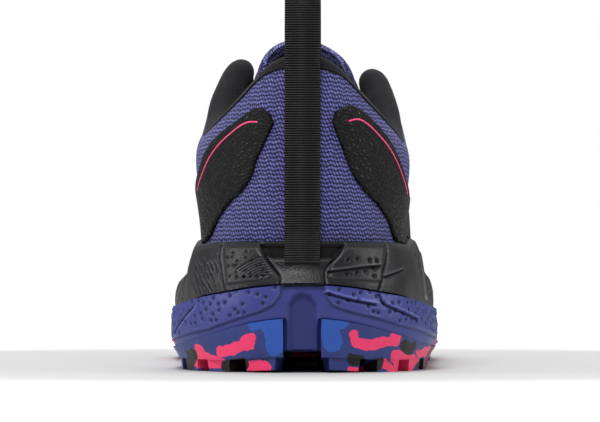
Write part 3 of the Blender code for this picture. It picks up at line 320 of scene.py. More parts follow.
def makePiece(name, points, faces, finishes, slots=None, uv=None, paintedShading=None):
    mesh = bpy.data.meshes.new(name)
    mesh.from_pydata(np.asarray(points).reshape(-1, 3).tolist(), [], [list(face) for face in faces])
    for finish in finishes:
        mesh.materials.append(finish)
    if slots is not None:
        mesh.polygons.foreach_set("material_index", np.asarray(slots, np.int32))
    if uv is not None:
        values = uv.reshape(-1, 2)[cornerVertices(mesh)]
        mesh.uv_layers.new(name="pattern").data.foreach_set("uv", values.astype(np.float32).ravel())
    # The tone holds painted shade below zero and painted highlight above zero, for the finish
    if paintedShading is not None:
        layer = mesh.attributes.new("tone", "FLOAT", "POINT")
        layer.data.foreach_set("value", paintedShading.astype(np.float32).ravel())
    shaped = bmesh.new()
    shaped.from_mesh(mesh)
    bmesh.ops.recalc_face_normals(shaped, faces=shaped.faces)
    shaped.to_mesh(mesh)
    shaped.free()
    mesh.shade_smooth()
    return addObject(name, mesh)


def place(piece, slot, *nodes):
    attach(piece, "root")
    if nodes:
        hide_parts(*nodes)
    return piece


def slab(top, bottom):  # points and faces of a closed solid between two grids
    rows, columns = top.shape[:2]
    under = rows * columns
    index = np.arange(under).reshape(rows, columns)
    rim = np.concatenate([index[0], index[1:, -1], index[-1, -2::-1], index[-2:0:-1, 0]])
    after = np.roll(rim, -1)
    upper = gridFaces(rows, columns)
    sides = np.stack([after, rim, under + rim, under + after], 1)
    faces = np.concatenate([upper, (upper + under)[:, ::-1], sides])
    return np.concatenate([top.reshape(-1, 3), bottom.reshape(-1, 3)]), faces


def crossStrips(first, columns, flip):  # closes a ring by strips across the shoe
    half = columns // 2
    faces = [(near, near + 1, columns - near - 1, columns - near) for near in range(1, half - 1)]
    faces += [(0, 1, columns - 1), (half - 1, half, half + 1)]
    return [[first + corner for corner in (face[::-1] if flip else face)] for face in faces]


def gridNormals(grid, closed=False):
    if closed:
        around = np.roll(grid, -1, axis=1) - np.roll(grid, 1, axis=1)
    else:
        around = np.gradient(grid, axis=1)
    return unit(np.cross(around, np.gradient(grid, axis=0)))


# Node trees of the finishes

class Field:  # a node's output, which takes arithmetic like a number
    def __init__(self, tree, socket):
        self.tree, self.socket = tree, socket

    def __add__(self, other):
        return maths("ADD", self, other)

    def __sub__(self, other):
        return maths("SUBTRACT", self, other)

    def __rsub__(self, other):
        return maths("SUBTRACT", other, self)

    def __mul__(self, other):
        return maths("MULTIPLY", self, other)

    def __truediv__(self, other):
        return maths("DIVIDE", self, other)

    def __pow__(self, other):
        return maths("POWER", self, other)


def wire(tree, kind, inputs=(), out=0, **settings):  # adds a node and joins its inputs
    node = tree.nodes.new(kind)
    for name, value in settings.items():
        setattr(node, name, value)
    for name, value in (inputs.items() if isinstance(inputs, dict) else enumerate(inputs)):
        if isinstance(value, Field):
            tree.links.new(value.socket, node.inputs[name])
        else:
            node.inputs[name].default_value = value
    return Field(tree, node.outputs[out])


def treeOf(*inputs):
    return next(value.tree for value in inputs if isinstance(value, Field))


def maths(operation, *inputs):
    return wire(treeOf(*inputs), "ShaderNodeMath", inputs, operation=operation)


def vector(operation, *inputs, out=0):
    return wire(treeOf(*inputs), "ShaderNodeVectorMath", inputs, out, operation=operation)


def scaled(way, factor):
    tree = treeOf(way, factor)
    return wire(tree, "ShaderNodeVectorMath", {0: way, "Scale": factor}, operation="SCALE")


def blend(factor, first, second):
    return wire(factor.tree, "ShaderNodeMix", {0: factor, 6: first, 7: second}, 2, data_type="RGBA")


def spread(value, *levels, **settings):  # from low and high, to low and high
    return wire(value.tree, "ShaderNodeMapRange", (value, *levels), **settings)


def tinted(colour, factor=1.0):
    return (*(factor * part for part in colour), 1.0)


def grey(value):
    return (value, value, value, 1.0)


def ramp(factor, *stops):
    made = wire(factor.tree, "ShaderNodeValToRGB", (factor,))
    elements = made.socket.node.color_ramp.elements
    while len(elements) < len(stops):
        elements.new(1.0)
    for element, (position, colour) in zip(elements, stops):
        element.position = position
        element.color = colour
    return made


def noise(where, scale, detail=2.0, out=0):
    inputs = {"Vector": where, "Scale": scale, "Detail": detail}
    return wire(where.tree, "ShaderNodeTexNoise", inputs, out)


def cells(where, scale, feature="F1", randomness=1.0):
    inputs = {"Vector": where, "Scale": scale, "Randomness": randomness}
    return wire(where.tree, "ShaderNodeTexVoronoi", inputs, feature=feature)


def bump(height, strength, distance):
    inputs = {"Strength": strength, "Distance": distance, "Height": height}
    return wire(height.tree, "ShaderNodeBump", inputs)


def newFinish(name, roughness, **sockets):
    material = bpy.data.materials.new(name)
    material.use_nodes = True
    shader = material.node_tree.nodes["Principled BSDF"]
    for socket, value in {"Roughness": roughness, **sockets}.items():
        shader.inputs[socket.replace("_", " ")].default_value = value
    return material, material.node_tree


def dress(material, fields):  # joins fields to the sockets of the material's shader
    shader = material.node_tree.nodes["Principled BSDF"]
    for socket, field in fields.items():
        material.node_tree.links.new(field.socket, shader.inputs[socket])
    return material


def objectPlace(tree):
    return wire(tree, "ShaderNodeTexCoord", out="Object")


def patternPlace(tree):
    return wire(tree, "ShaderNodeUVMap", uv_map="pattern")


knit = {
    "row": 1.42 * mm,
    "loop": 1.12 * mm,
    "ripple": 3.1,  # loops in one wave of a row
    "slant": 0.55,
    "wave": 0.14,
    "drift": 0.9,
    "ovalWide": 0.60,
    "ovalHigh": 0.37,
    # The four colours run from the gaps between loops to the loop tops: painted shade, a lighter painted
    # shade, the yarn's own colour and a painted highlight
    "gapShade": (0.009, 0.009, 0.040),
    "shade": (0.030, 0.031, 0.125),
    "yarn": (0.082, 0.084, 0.285),
    "loopHighlight": (0.200, 0.200, 0.470),
    "depth": 0.5 * mm,
}


def knitFinish(name, values):
    material, tree = newFinish(name, 0.8, Specular_IOR_Level=0.3, Sheen_Weight=0.06, Sheen_Roughness=0.5)
    where = patternPlace(tree)
    along, up = (wire(tree, "ShaderNodeSeparateXYZ", (where,), axis) for axis in "XY")
    wave = maths("SINE", along * (2 * math.pi / (values["ripple"] * values["loop"])))
    rows = up / values["row"] + wave * values["wave"] + noise(where, 160.0, 1.0) * values["drift"]
    row = maths("FLOOR", rows)
    turns = along / values["loop"] + row * 0.5
    wide = maths("FRACT", turns) - 0.5
    parity = 1.0 - maths("MODULO", maths("ABSOLUTE", row), 2.0) * 0.6
    high = maths("FRACT", rows) - 0.5 + wide * parity * values["slant"]
    oval = (wide / values["ovalWide"]) ** 2.0 + (high / values["ovalHigh"]) ** 2.0
    height = maths("SQRT", maths("MAXIMUM", 1.0 - oval, 0.0))
    pair = wire(tree, "ShaderNodeCombineXYZ", (maths("FLOOR", turns), row))
    chance = wire(tree, "ShaderNodeTexWhiteNoise", {"Vector": pair}, noise_dimensions="3D")
    fibre = noise(where, 5200.0, 2.0)
    # The colour follows the loop height, painting shade in the gaps and a highlight on the loop tops, with
    # random tone per loop and in the fibre
    tone = height * 0.82 + chance * 0.16 + (fibre - 0.5) * 0.55
    shades = [tinted(values[key]) for key in ("gapShade", "shade", "yarn", "loopHighlight")]
    colour = ramp(tone, *zip((0.06, 0.32, 0.66, 1.0), shades))
    rough = bump(height + fibre * 0.22, 0.75, values["depth"])
    return dress(material, {"Base Color": colour, "Normal": rough})


def clothFinish(name, colour, cell=0.55 * mm, strength=0.5):  # fine plain knit
    material, tree = newFinish(name, 0.88, Specular_IOR_Level=0.18, Sheen_Weight=0.05, Sheen_Roughness=0.45)
    where = objectPlace(tree)
    fuzz = noise(where, 1500.0, 3.0)
    shade = ramp(fuzz, (0.3, tinted(colour, 0.7)), (0.7, tinted(colour, 1.35)))
    height = fuzz * 0.4 - cells(where, 1 / cell, randomness=0.35)
    return dress(material, {"Base Color": shade, "Normal": bump(height, strength, 0.25 * mm)})


film = {
    "colour": (0.003, 0.003, 0.0035),
    # Colour of the crinkle crests, lighter than the film: a painted highlight
    "crestHighlight": (0.007, 0.007, 0.008),
    "turn": 0.75,
    "cellAlong": 420.0,
    "cellAcross": 780.0,
    "depth": 0.55 * mm,
    "roughness": 0.33,
    "foldRoughness": 0.62,
}


def filmFinish(name, values):
    material, tree = newFinish(name, values["roughness"], Specular_IOR_Level=0.19)
    pattern = patternPlace(tree)
    scale = (values["cellAlong"], values["cellAcross"], 1.0)
    stretch = wire(tree, "ShaderNodeMapping",
                   {"Vector": pattern, "Rotation": (0, 0, values["turn"]), "Scale": scale})
    bent = vector("ADD", stretch, scaled(noise(stretch, 0.5, 1.0, "Color"), 0.9))
    crest = ramp(cells(bent, 1.0, "DISTANCE_TO_EDGE"), (0.0, grey(0.0)), (0.28, grey(0.8)), (0.6, grey(1.0)))
    height = crest + noise(pattern, 2600.0, 3.0) * 0.10
    return dress(material, {
        # The crests of the crinkle take the lighter colour, a painted highlight, and the folds keep the
        # film's own colour
        "Base Color": blend(crest, tinted(values["colour"]), tinted(values["crestHighlight"])),
        "Normal": bump(height, 0.85, values["depth"]),
        "Roughness": ramp(crest, (0.0, grey(values["foldRoughness"])), (1.0, grey(values["roughness"]))),
    })


darkFoamValues = {
    "colour": (0.007, 0.007, 0.009),
    "raised": (0.010, 0.010, 0.012),
    # Colour on the lit edges: a painted highlight
    "edge": (0.090, 0.090, 0.105),
    "roughness": 0.36,
    "grain": 1150.0,
    "strength": 0.3,
}
lightFoamValues = {
    "colour": (0.030, 0.040, 0.195),
    "raised": (0.050, 0.060, 0.250),
    # Colour on the lit edges: a painted highlight
    "edge": (0.160, 0.190, 0.520),
    "roughness": 0.42,
    "grain": 1500.0,
    "strength": 0.1,
}


def foamFinish(name, values):  # the piece's tone is -1 in its hollows and 1 on its lit edges
    material, tree = newFinish(name, values["roughness"], Specular_IOR_Level=0.32)
    where = objectPlace(tree)
    bent = vector("ADD", where, scaled(noise(where, 420.0, 2.0, "Color"), 1.4 * mm))
    pebble = ramp(cells(bent, values["grain"], "DISTANCE_TO_EDGE"),
                  (0.0, grey(0.0)), (0.22, grey(0.75)), (0.5, grey(1.0)))
    height = pebble + noise(where, 3300.0, 2.0) * 0.35
    tone = wire(tree, "ShaderNodeAttribute", out="Fac", attribute_name="tone")
    # Below zero the tone darkens the colour towards 0.08 of itself, painted shade in the hollows; above zero
    # it blends to the edge colour, a painted highlight
    sunk = spread(tone, -1.0, 0.0)
    colour = blend(noise(where, 38.0, 3.0), tinted(values["colour"]), tinted(values["raised"]))
    colour = blend(sunk, tinted(values["colour"], 0.08), colour)
    return dress(material, {
        "Base Color": blend(spread(tone, 0.0, 1.0), colour, tinted(values["edge"])),
        "Normal": bump(height, values["strength"], 0.16 * mm),
        "Roughness": spread(sunk, 0.0, 1.0, 0.9, values["roughness"]),
    })


rubber = {
    "blue": (0.026, 0.042, 0.190),
    "royal": (0.022, 0.095, 0.440),
    "pink": (0.900, 0.045, 0.160),
    "black": (0.006, 0.006, 0.007),
    "patch": 46.0,
    "wander": 6 * mm,
    "pinkFrom": 0.565,
    "blackFrom": 0.585,
    "heelEnd": -99 * mm,
}
# Blobs of colour on the back of the heel: colour, start and end across and up in mm, radius
heelBlobs = (
    ("royal", (-16.0, 16.6), (-9.0, 17.2), 2.2), ("royal", (-9.8, 15.5), (-9.4, 9.0), 3.2),
    ("royal", (13.0, 17.2), (9.0, 16.6), 2.2), ("royal", (9.4, 15.6), (10.2, 9.6), 3.0),
    ("pink", (-26.5, 6.8), (-19.0, 8.6), 1.9), ("pink", (-18.5, 8.8), (-17.4, 12.4), 1.9),
    ("pink", (-34.5, 3.0), (-29.0, 2.8), 2.7), ("pink", (-34.6, 7.4), (-34.0, 5.0), 1.5),
    ("pink", (-17.0, 1.8), (-11.5, 1.4), 1.7), ("pink", (16.8, 12.0), (17.8, 9.4), 1.7),
    ("pink", (18.5, 9.4), (29.5, 9.2), 1.5), ("pink", (30.3, 13.2), (33.0, 12.6), 1.4),
    ("pink", (30.6, 12.0), (30.0, 9.0), 1.1), ("pink", (31.0, 4.8), (37.0, 3.8), 2.0),
    ("pink", (31.0, 1.8), (36.0, 1.8), 1.6), ("pink", (40.0, 6.2), (42.0, 6.0), 1.8),
    ("pink", (15.5, 1.2), (19.5, 1.2), 1.3), ("pink", (25.5, 2.8), (28.5, 1.8), 1.4),
    ("black", (-38.5, 1.5), (-37.5, 6.0), 2.0), ("black", (-25.4, 1.6), (-20.2, 1.8), 2.5),
    ("black", (33.4, 8.0), (36.2, 7.6), 1.9), ("black", (39.6, 1.8), (41.6, 2.2), 1.7),
    ("black", (16.2, 4.4), (18.6, 4.6), 1.6), ("black", (22.0, 1.8), (24.6, 2.8), 1.9),
)


def capsule(where, start, end, radius):  # 1 within a radius of a straight line
    run = end - start
    away = vector("SUBTRACT", where, start)
    share = vector("DOT_PRODUCT", away, run / run.length_squared, out="Value")
    base = scaled(run, wire(where.tree, "ShaderNodeClamp", (share,)))
    return maths("LESS_THAN", vector("DISTANCE", away, base, out="Value"), radius)


def rubberFinish(name, values):
    material, tree = newFinish(name, 0.45, Specular_IOR_Level=0.4)
    shade = {key: tinted(values[key]) for key in ("blue", "royal", "pink", "black")}
    where = objectPlace(tree)
    wander = vector("SUBTRACT", noise(where, 120.0, 3.0, "Color"), (0.5, 0.5, 0.5))
    bent = vector("ADD", where, scaled(wander, values["wander"]))
    pink = noise(bent, values["patch"], 0.0)
    black = noise(vector("ADD", bent, (0.31, 0.17, 0.53)), values["patch"] * 1.15, 0.0)
    side = blend(noise(where, 22.0, 0.0), shade["blue"], shade["royal"])
    side = blend(maths("GREATER_THAN", pink, values["pinkFrom"]), side, shade["pink"])
    side = blend(maths("GREATER_THAN", black, values["blackFrom"]), side, shade["black"])
    flat = vector("MULTIPLY", bent, (1.0, 0.0, 1.0))
    heel = shade["blue"]
    for key, *ends, radius in heelBlobs:
        start, end = (Vector((shoe["heelAxis"] + across * mm, 0.0, up * mm)) for across, up in ends)
        heel = blend(capsule(flat, start, end, radius * mm), heel, shade[key])
    along = wire(tree, "ShaderNodeSeparateXYZ", (where,), "Y")
    return dress(material, {
        "Base Color": blend(maths("LESS_THAN", along, values["heelEnd"]), side, heel),
        "Normal": bump(noise(where, 2600.0, 2.0), 0.2, 0.1 * mm),
    })


def plainFinish(name, colour, roughness, grain=2400.0, strength=0.3, patchy=0.25, **sockets):
    material, tree = newFinish(name, roughness, **sockets)
    fine = noise(objectPlace(tree), grain, 3.0)
    shade = blend(fine, tinted(colour, 1 - patchy), tinted(colour, 1 + patchy))
    return dress(material, {"Base Color": shade, "Normal": bump(fine, strength, 0.12 * mm)})


upperKnit = knitFinish("upperKnit", knit)
collarCloth = clothFinish("collarCloth", (0.007, 0.007, 0.009))
liningCloth = clothFinish("liningCloth", (0.006, 0.006, 0.008), 0.9 * mm, 0.6)
heelFilm = filmFinish("heelFilm", film)
darkFoam = foamFinish("darkFoam", darkFoamValues)
lightFoam = foamFinish("lightFoam", lightFoamValues)
camoRubber = rubberFinish("camoRubber", rubber)
webbingCloth = plainFinish("webbingCloth", (0.0012, 0.0012, 0.0015), 0.8, 3600.0, 0.5, Specular_IOR_Level=0.1)
ribCloth = plainFinish("ribCloth", (0.009, 0.009, 0.010), 0.5, 420.0, 1.0, 0.9, Specular_IOR_Level=0.45)
threadCloth = plainFinish("threadCloth", (0.012, 0.012, 0.014), 0.6)
laceCloth = plainFinish("laceCloth", (0.010, 0.010, 0.012), 0.8, 3000.0, 0.6, Specular_IOR_Level=0.25)
pinkPrint = plainFinish("pinkPrint", (0.86, 0.05, 0.20), 0.45)
print("finishes:", len(bpy.data.materials))


# Upper: knit body, padded collar and lining as one closed skin

upperValues = {
    "fine": 0.85 * mm,
    "coarse": 1.9 * mm,
    "reach": 70 * mm,
    "outerRows": 78,
    "collarRows": 10,
    "rollRows": 12,
    "clothRows": 6,  # rows of collar cloth inside the roll, before the lining
    "innerRows": 34,
    "vampStation": 11.3,
    "puff": 0.9 * mm,
}
# Where the knit ends and the collar cloth begins: station, share above the rim
collarEdge = (
    (0.0, 0.985), (0.8, 0.985), (1.5, 0.995), (2.4, 0.975), (3.2, 0.945), (4.2, 0.935), (5.2, 0.930),
    (6.2, 0.925), (7.0, 0.915), (7.6, 0.965), (8.4, 0.985), (14.0, 0.985),
)


def denseStations(values):  # stations of the columns, closer together round the heel
    dense = np.linspace(0, stationCount, 6001)[:-1]
    turns = meridian(dense)["turn"]
    away = np.minimum(turns, outlineLength - turns)
    grade = smoothStep((away - values["reach"]) / values["reach"])
    step = values["fine"] + (values["coarse"] - values["fine"]) * grade
    count = np.concatenate([[0], np.cumsum(np.diff(np.append(turns, outlineLength)) / step)])
    total = int(round(count[-1] / 2)) * 2
    places = np.arange(total) * count[-1] / total
    return np.interp(places, count, np.append(dense, stationCount))


def makeUpper(values):
    stations = denseStations(values)
    columns = len(stations)
    edges = np.array(collarEdge)
    edge = through(edges[:, 0], edges[:, 1], np.minimum(stations, stationCount - stations))
    rim, seam = aboveRim(stations, 0.0), aboveRim(stations, edge)
    rings = [besideSkin(stations, rim * part, 0.0) for part in (0.0, 0.5)]
    for part in np.linspace(0, 1, values["outerRows"]):
        rings.append(besideSkin(stations, rim + (seam - rim) * part, 0.0))
    knitRings = len(rings)
    puff = values["puff"] * np.clip(meridian(stations)["pad"], 0, 1)
    for part in np.linspace(0, 1, values["collarRows"] + 1)[1:]:
        swell = puff * math.sin(math.pi * part / 2) ** 0.5
        rings.append(besideSkin(stations, seam + (1 - seam) * part, swell * (1 - 0.5 * part)))
    outerEdge, innerEdge = rings[-1], besideSkin(stations, 1.0, -wallAt(stations, 1.0))
    climb = unit(skin(stations, 1.0) - skin(stations, 0.96))
    middle, across = (outerEdge + innerEdge) / 2, (outerEdge - innerEdge) / 2
    half = np.linalg.norm(across, axis=1, keepdims=True)
    for turn in np.linspace(0, math.pi, values["rollRows"] + 2)[1:-1]:
        rings.append(middle + across * math.cos(turn) + climb * half * math.sin(turn))
    for part in np.linspace(1, 0, values["innerRows"]):
        rings.append(besideSkin(stations, part, -wallAt(stations, part)))
    rings[-1][:, 2] = rings[0][:, 2]
    grid = np.array(rings)
    count = len(grid)
    here = np.arange(columns)
    after, last = (here + 1) % columns, (count - 1) * columns
    foot = np.stack([last + here, last + after, after, here], -1)
    faces = np.concatenate([gridFaces(count, columns, closed=True), foot])
    ring = np.minimum(np.arange(len(faces)) // columns, count)
    clothEnd = knitRings + values["collarRows"] + values["rollRows"] + values["clothRows"]
    slots = np.select([ring < knitRings - 1, ring < clothEnd], [0, 1], 2)
    around = arcLengths(np.concatenate([grid, grid[:, :1]], axis=1), 1)
    toe = np.argmin(np.abs(stations - toeStation))
    along = around[:, :-1] - np.where(here > toe, around[:, -1:], 0)
    uv = np.stack([along, arcLengths(grid)], -1)
    piece = makePiece("upper_body", grid, faces, (upperKnit, collarCloth, liningCloth), slots, uv)
    # On the vamp the rows of knit run across the shoe
    corners = cornerVertices(piece.data).reshape(-1, 4)
    fromToe = np.abs(np.tile(stations, count)[corners].mean(1) - toeStation)
    vamp = (fromToe < toeStation - values["vampStation"])[:, None, None]
    uv = np.where(vamp, grid.reshape(-1, 3)[corners][..., 1::-1], uv.reshape(-1, 2)[corners])
    piece.data.uv_layers["pattern"].data.foreach_set("uv", uv.astype(np.float32).ravel())
    return place(piece, "upper_knit", "upper")


makeUpper(upperValues)
print("upper done")


# Film overlays on the upper

panelValues = {
    "across": 34,
    "length": 150,
    "edge": 0.9 * mm,
    "thinnest": 0.35,  # thickness at the border, as a share of the film's
    "stripe": 0.55 * mm,
    "stripeProud": 0.12 * mm,
    "eyelet": 2.2 * mm,  # radius
    "punch": 8 * mm,
}
# Station and share above the rim of the first edge, then of the second edge
panels = {
    "heel_overlay_lateral": (
        (0.72, 0.730, 0.63, 0.670), (1.10, 0.800, 0.68, 0.600), (1.50, 0.835, 0.76, 0.520),
        (1.90, 0.845, 0.85, 0.420), (2.33, 0.800, 0.95, 0.345), (2.62, 0.715, 1.20, 0.280),
        (2.90, 0.600, 1.70, 0.215), (3.15, 0.500, 2.15, 0.140), (3.60, 0.430, 2.60, 0.025),
        (4.30, 0.370, 3.30, 0.020), (5.20, 0.300, 4.50, 0.020), (6.20, 0.225, 5.80, 0.020),
        (7.10, 0.150, 6.90, 0.020), (7.70, 0.080, 7.50, 0.020),
    ),
    "heel_overlay_medial": (
        (0.70, 0.715, 0.60, 0.665), (1.02, 0.775, 0.68, 0.600), (1.45, 0.792, 0.76, 0.530),
        (1.85, 0.800, 0.86, 0.455), (2.32, 0.790, 0.92, 0.360), (2.72, 0.735, 1.15, 0.285),
        (2.98, 0.650, 1.60, 0.235), (3.15, 0.560, 2.05, 0.165), (3.60, 0.460, 2.55, 0.050),
        (4.30, 0.385, 3.20, 0.020), (5.20, 0.310, 4.40, 0.020), (6.20, 0.230, 5.80, 0.020),
        (7.10, 0.155, 6.90, 0.020), (7.70, 0.080, 7.50, 0.020),
    ),
    "toe_cap": (
        (11.40, 0.060, 11.20, 0.020), (11.90, 0.150, 11.90, 0.020), (12.60, 0.240, 12.60, 0.020),
        (13.30, 0.310, 13.30, 0.020), (14.00, 0.340, 14.00, 0.020), (14.70, 0.310, 14.70, 0.020),
        (15.40, 0.240, 15.40, 0.020), (16.10, 0.150, 16.10, 0.020), (16.80, 0.060, 16.60, 0.020),
    ),
    "eyestay": (
        (7.15, 0.900, 7.15, 0.780), (7.60, 0.935, 7.60, 0.755), (8.20, 0.960, 8.20, 0.740),
        (9.00, 0.965, 9.00, 0.720), (10.00, 0.965, 10.00, 0.700), (11.00, 0.965, 11.00, 0.690),
        (12.00, 0.960, 12.00, 0.720), (12.60, 0.955, 12.60, 0.760),
    ),
}
eyeletStations = (11.60, 10.90, 10.20, 9.50, 8.80, 8.10)
eyeletShare = 0.86


def skinPath(table, medial, lift, count=160):  # a course over the upper, and the way that it faces
    rows = resampled(table, count)
    stations = sided(rows[:, 0], medial)
    rises = aboveRim(stations, rows[:, 1])
    return besideSkin(stations, rises, lift), skinNormal(stations, rises)


def panelPlaces(table, medial, values):
    edges = resampled(table, values["length"])[:, None]
    shares = np.linspace(0, 1, values["across"])[:, None]
    places = edges[..., :2] + (edges[..., 2:] - edges[..., :2]) * shares
    stations = sided(places[..., 0], medial)
    return stations, aboveRim(stations, places[..., 1])


def makePanel(name, table, slot, values, holes=False):
    medial = name.endswith("medial")
    stations, rises = panelPlaces(table, medial, values)
    flat = besideSkin(stations, rises, shoe["seatGap"])
    along, across = arcLengths(flat, 0), arcLengths(flat, 1)
    border = np.minimum.reduce([along, along[-1:] - along, across, across[:, -1:] - across])
    thinnest = values["thinnest"]
    thick = shoe["overlay"] * (thinnest + (1 - thinnest) * rounded(border / values["edge"]))
    top = besideSkin(stations, rises, shoe["seatGap"] + thick)
    points, faces = slab(top, besideSkin(stations, rises, 0.25 * shoe["seatGap"]))
    uv = np.tile(np.stack([along, across], -1).reshape(-1, 2), (2, 1))
    piece = makePiece(name + "_film", points, faces, (heelFilm,), uv=uv)
    if holes:
        punchEyelets(piece, medial, values)
    return place(piece, slot, name)


def eyeletFrame(station, medial):
    station = sided(station, medial)
    rise = aboveRim(station, eyeletShare)
    return skin(station, rise), skinNormal(station, rise)


def applyModifiers(piece):
    graph = bpy.context.evaluated_depsgraph_get()
    shaped = bpy.data.meshes.new_from_object(piece.evaluated_get(graph))
    piece.modifiers.clear()
    piece.data = shaped


def punchEyelets(piece, medial, values):
    cutters, radius = bmesh.new(), values["eyelet"]
    for station in eyeletStations:
        centre, axis = eyeletFrame(station, medial)
        turn = Vector(axis).to_track_quat("Z", "Y").to_matrix().to_4x4()
        turn.translation = Vector(centre)
        bmesh.ops.create_cone(cutters, cap_ends=True, segments=24, radius1=radius, radius2=radius,
                              depth=values["punch"], matrix=turn)
    mesh = bpy.data.meshes.new("eyeletCutter")
    cutters.to_mesh(mesh)
    cutters.free()
    cutter = addObject("eyeletCutter", mesh)
    cut = piece.modifiers.new("eyelets", "BOOLEAN")
    cut.operation, cut.solver, cut.object = "DIFFERENCE", "EXACT", cutter
    applyModifiers(piece)
    bpy.data.objects.remove(cutter)


stripeCourse = {
    "lateral": ((0.98, 0.690), (1.45, 0.745), (1.90, 0.745), (2.30, 0.690), (2.60, 0.600),
                (2.90, 0.490), (3.30, 0.380)),
    "medial": ((0.95, 0.680), (1.42, 0.715), (1.85, 0.720), (2.25, 0.690), (2.60, 0.610),
               (2.90, 0.500), (3.30, 0.390)),
}


def makePinstripe(side, values):  # thin printed line on a heel panel
    over = shoe["seatGap"] + shoe["overlay"]
    centre, normal = skinPath(stripeCourse[side], side == "medial", over, 90)
    half = unit(np.cross(np.gradient(centre, axis=0), normal)) * values["stripe"] / 2
    line, normal = np.stack([centre - half, centre + half], 1), normal[:, None]
    points, faces = slab(line + normal * values["stripeProud"], line - normal * 0.2 * mm)
    place(makePiece(f"pinstripe_{side}", points, faces, (pinkPrint,)), "heel_film")


sides = ("lateral", "medial")
for side in sides:
    makePanel(f"heel_overlay_{side}", panels[f"heel_overlay_{side}"], "heel_film", panelValues)
makePanel("toe_cap", panels["toe_cap"], "heel_film", {**panelValues, "length": 220})
eyestayValues = {**panelValues, "across": 24, "length": 130}
for side in sides:
    makePanel(f"eyestay_{side}", panels["eyestay"], "eyestay_film", eyestayValues, holes=True)
for side in sides:
    makePinstripe(side, panelValues)
print("overlays done")


# Sole: two foams on a rubber outsole, built ring by ring round the outline

soleValues = {
    "fine": 0.46 * mm,
    "coarse": 1.15 * mm,
    "reach": 62 * mm,
    "coreInset": 13 * mm,
    "rimWall": 3.6 * mm,
    "stepLedge": 3.4 * mm,
    "lug": 4 * mm,
    "rubber": 2.4 * mm,
    "rubberProud": 0.5 * mm,
    "slot": 6.0 * mm,
    "treadInset": 1.8 * mm,
    "sideRows": 58,
    "corePlace": 0.62,  # height of the hidden joint of the foams, from the tread to the bed
    "toeSpring": 12 * mm,
    "heelSpring": 1.6 * mm,
    "archRise": 2.5 * mm,
}


def treadHeight(y):
    along = np.asarray(y) / shoe["length"] + 0.5
    toe = soleValues["toeSpring"] * np.clip((along - 0.68) / 0.32, 0, None) ** 1.7
    heel = soleValues["heelSpring"] * np.clip(1 - along / 0.05, 0, 1) ** 1.5
    arch = soleValues["archRise"] * smoothStep((along - 0.30) / 0.07) * smoothStep((0.52 - along) / 0.07)
    return toe + heel + arch


def soleFrame(values):  # the outline's columns, with the heights of the sole at each
    stations = denseStations(values)
    turn = meridian(stations)["turn"]
    edge, outward = outline(turn)
    along = edge[:, 1] / shoe["length"] + 0.5
    bed = heightAt(1, along) * shoe["bedHeight"]
    wrap, step, rim = (heightAt(column, along) * shoe["rimHeight"] for column in (2, 3, 4))
    tread = treadHeight(edge[:, 1])
    return {
        "stations": stations, "edge": edge, "outward": outward, "along": along,
        "bed": bed, "wrap": wrap, "step": step, "rim": rim, "tread": tread,
        "core": tread + values["corePlace"] * (bed - tread),
        "travel": np.where(turn < outlineKnots[toeRow], turn, turn - outlineLength),
        "rimRise": riseAtHeight(stations, rim),
    }


sole = soleFrame(soleValues)


def travelAt(across):  # distance round the sole for a place across the heel, as seen from behind
    order = np.argsort(sole["travel"])
    near = order[np.abs(sole["travel"][order]) < soleValues["reach"]]
    x = np.maximum.accumulate(sole["edge"][near, 0] - shoe["heelAxis"])
    inside = np.interp(across, x + np.arange(len(x)) * 1e-9, sole["travel"][near])
    return inside + np.clip(across - x[-1], 0, None) + np.clip(across - x[0], None, 0)


def soleRing(inset, height):
    plan = sole["edge"] - sole["outward"] * (np.zeros(len(sole["edge"])) + inset)[:, None]
    return np.concatenate([plan, (np.zeros(len(plan)) + height)[:, None]], 1)


def sheetRing(inset, lift):
    ring = soleRing(inset, 0)
    ring[:, 2] = treadHeight(ring[:, 1]) + soleValues["lug"] + lift
    return ring


def heelCourse(points):  # places across and up, in mm as seen from behind, as travel and height
    places = np.array(points, float) * mm
    return np.stack([travelAt(places[:, 0]), places[:, 1]], 1)


def courseDistance(where, course):  # distance to a broken line, and the side of it
    best = np.full(len(where), 1.0)
    sign = np.ones(len(where))
    for start, end in zip(course, course[1:]):
        run = end - start
        share = np.clip(((where - start) @ run) / (run @ run), 0, 1)
        away = where - (start + share[:, None] * run)
        distance = np.linalg.norm(away, axis=1)
        cross = run[0] * away[:, 1] - run[1] * away[:, 0]
        sign = np.where(distance < best, np.sign(cross), sign)
        best = np.minimum(best, distance)
    return best, sign


def insideCourse(where, course):
    inside = np.zeros(len(where), bool)
    for (x1, y1), (x2, y2) in zip(course, np.roll(course, -1, axis=0)):
        crosses = (y1 > where[:, 1]) != (y2 > where[:, 1])
        inside ^= crosses & (where[:, 0] < (x2 - x1) * (where[:, 1] - y1) / (y2 - y1 + 1e-12) + x1)
    return inside


# Besides the depth, the tone paints shade in the crease, -1 at its middle, and a painted highlight of 0.8
# along the lit lip
def trough(where, course, width, depth, lip=0.0):  # depth of a crease, and its lit edge
    distance, sign = courseDistance(where, resampled(course, 24))
    edge = np.exp(-(((distance - 1.5 * width) / (0.45 * width)) ** 2)) * (sign > 0) * (lip > 0)
    hollow = np.clip(1 - (distance / width) ** 2, 0, 1) ** 1.5
    return np.stack([lip * edge - depth * hollow, 0.8 * edge - hollow])


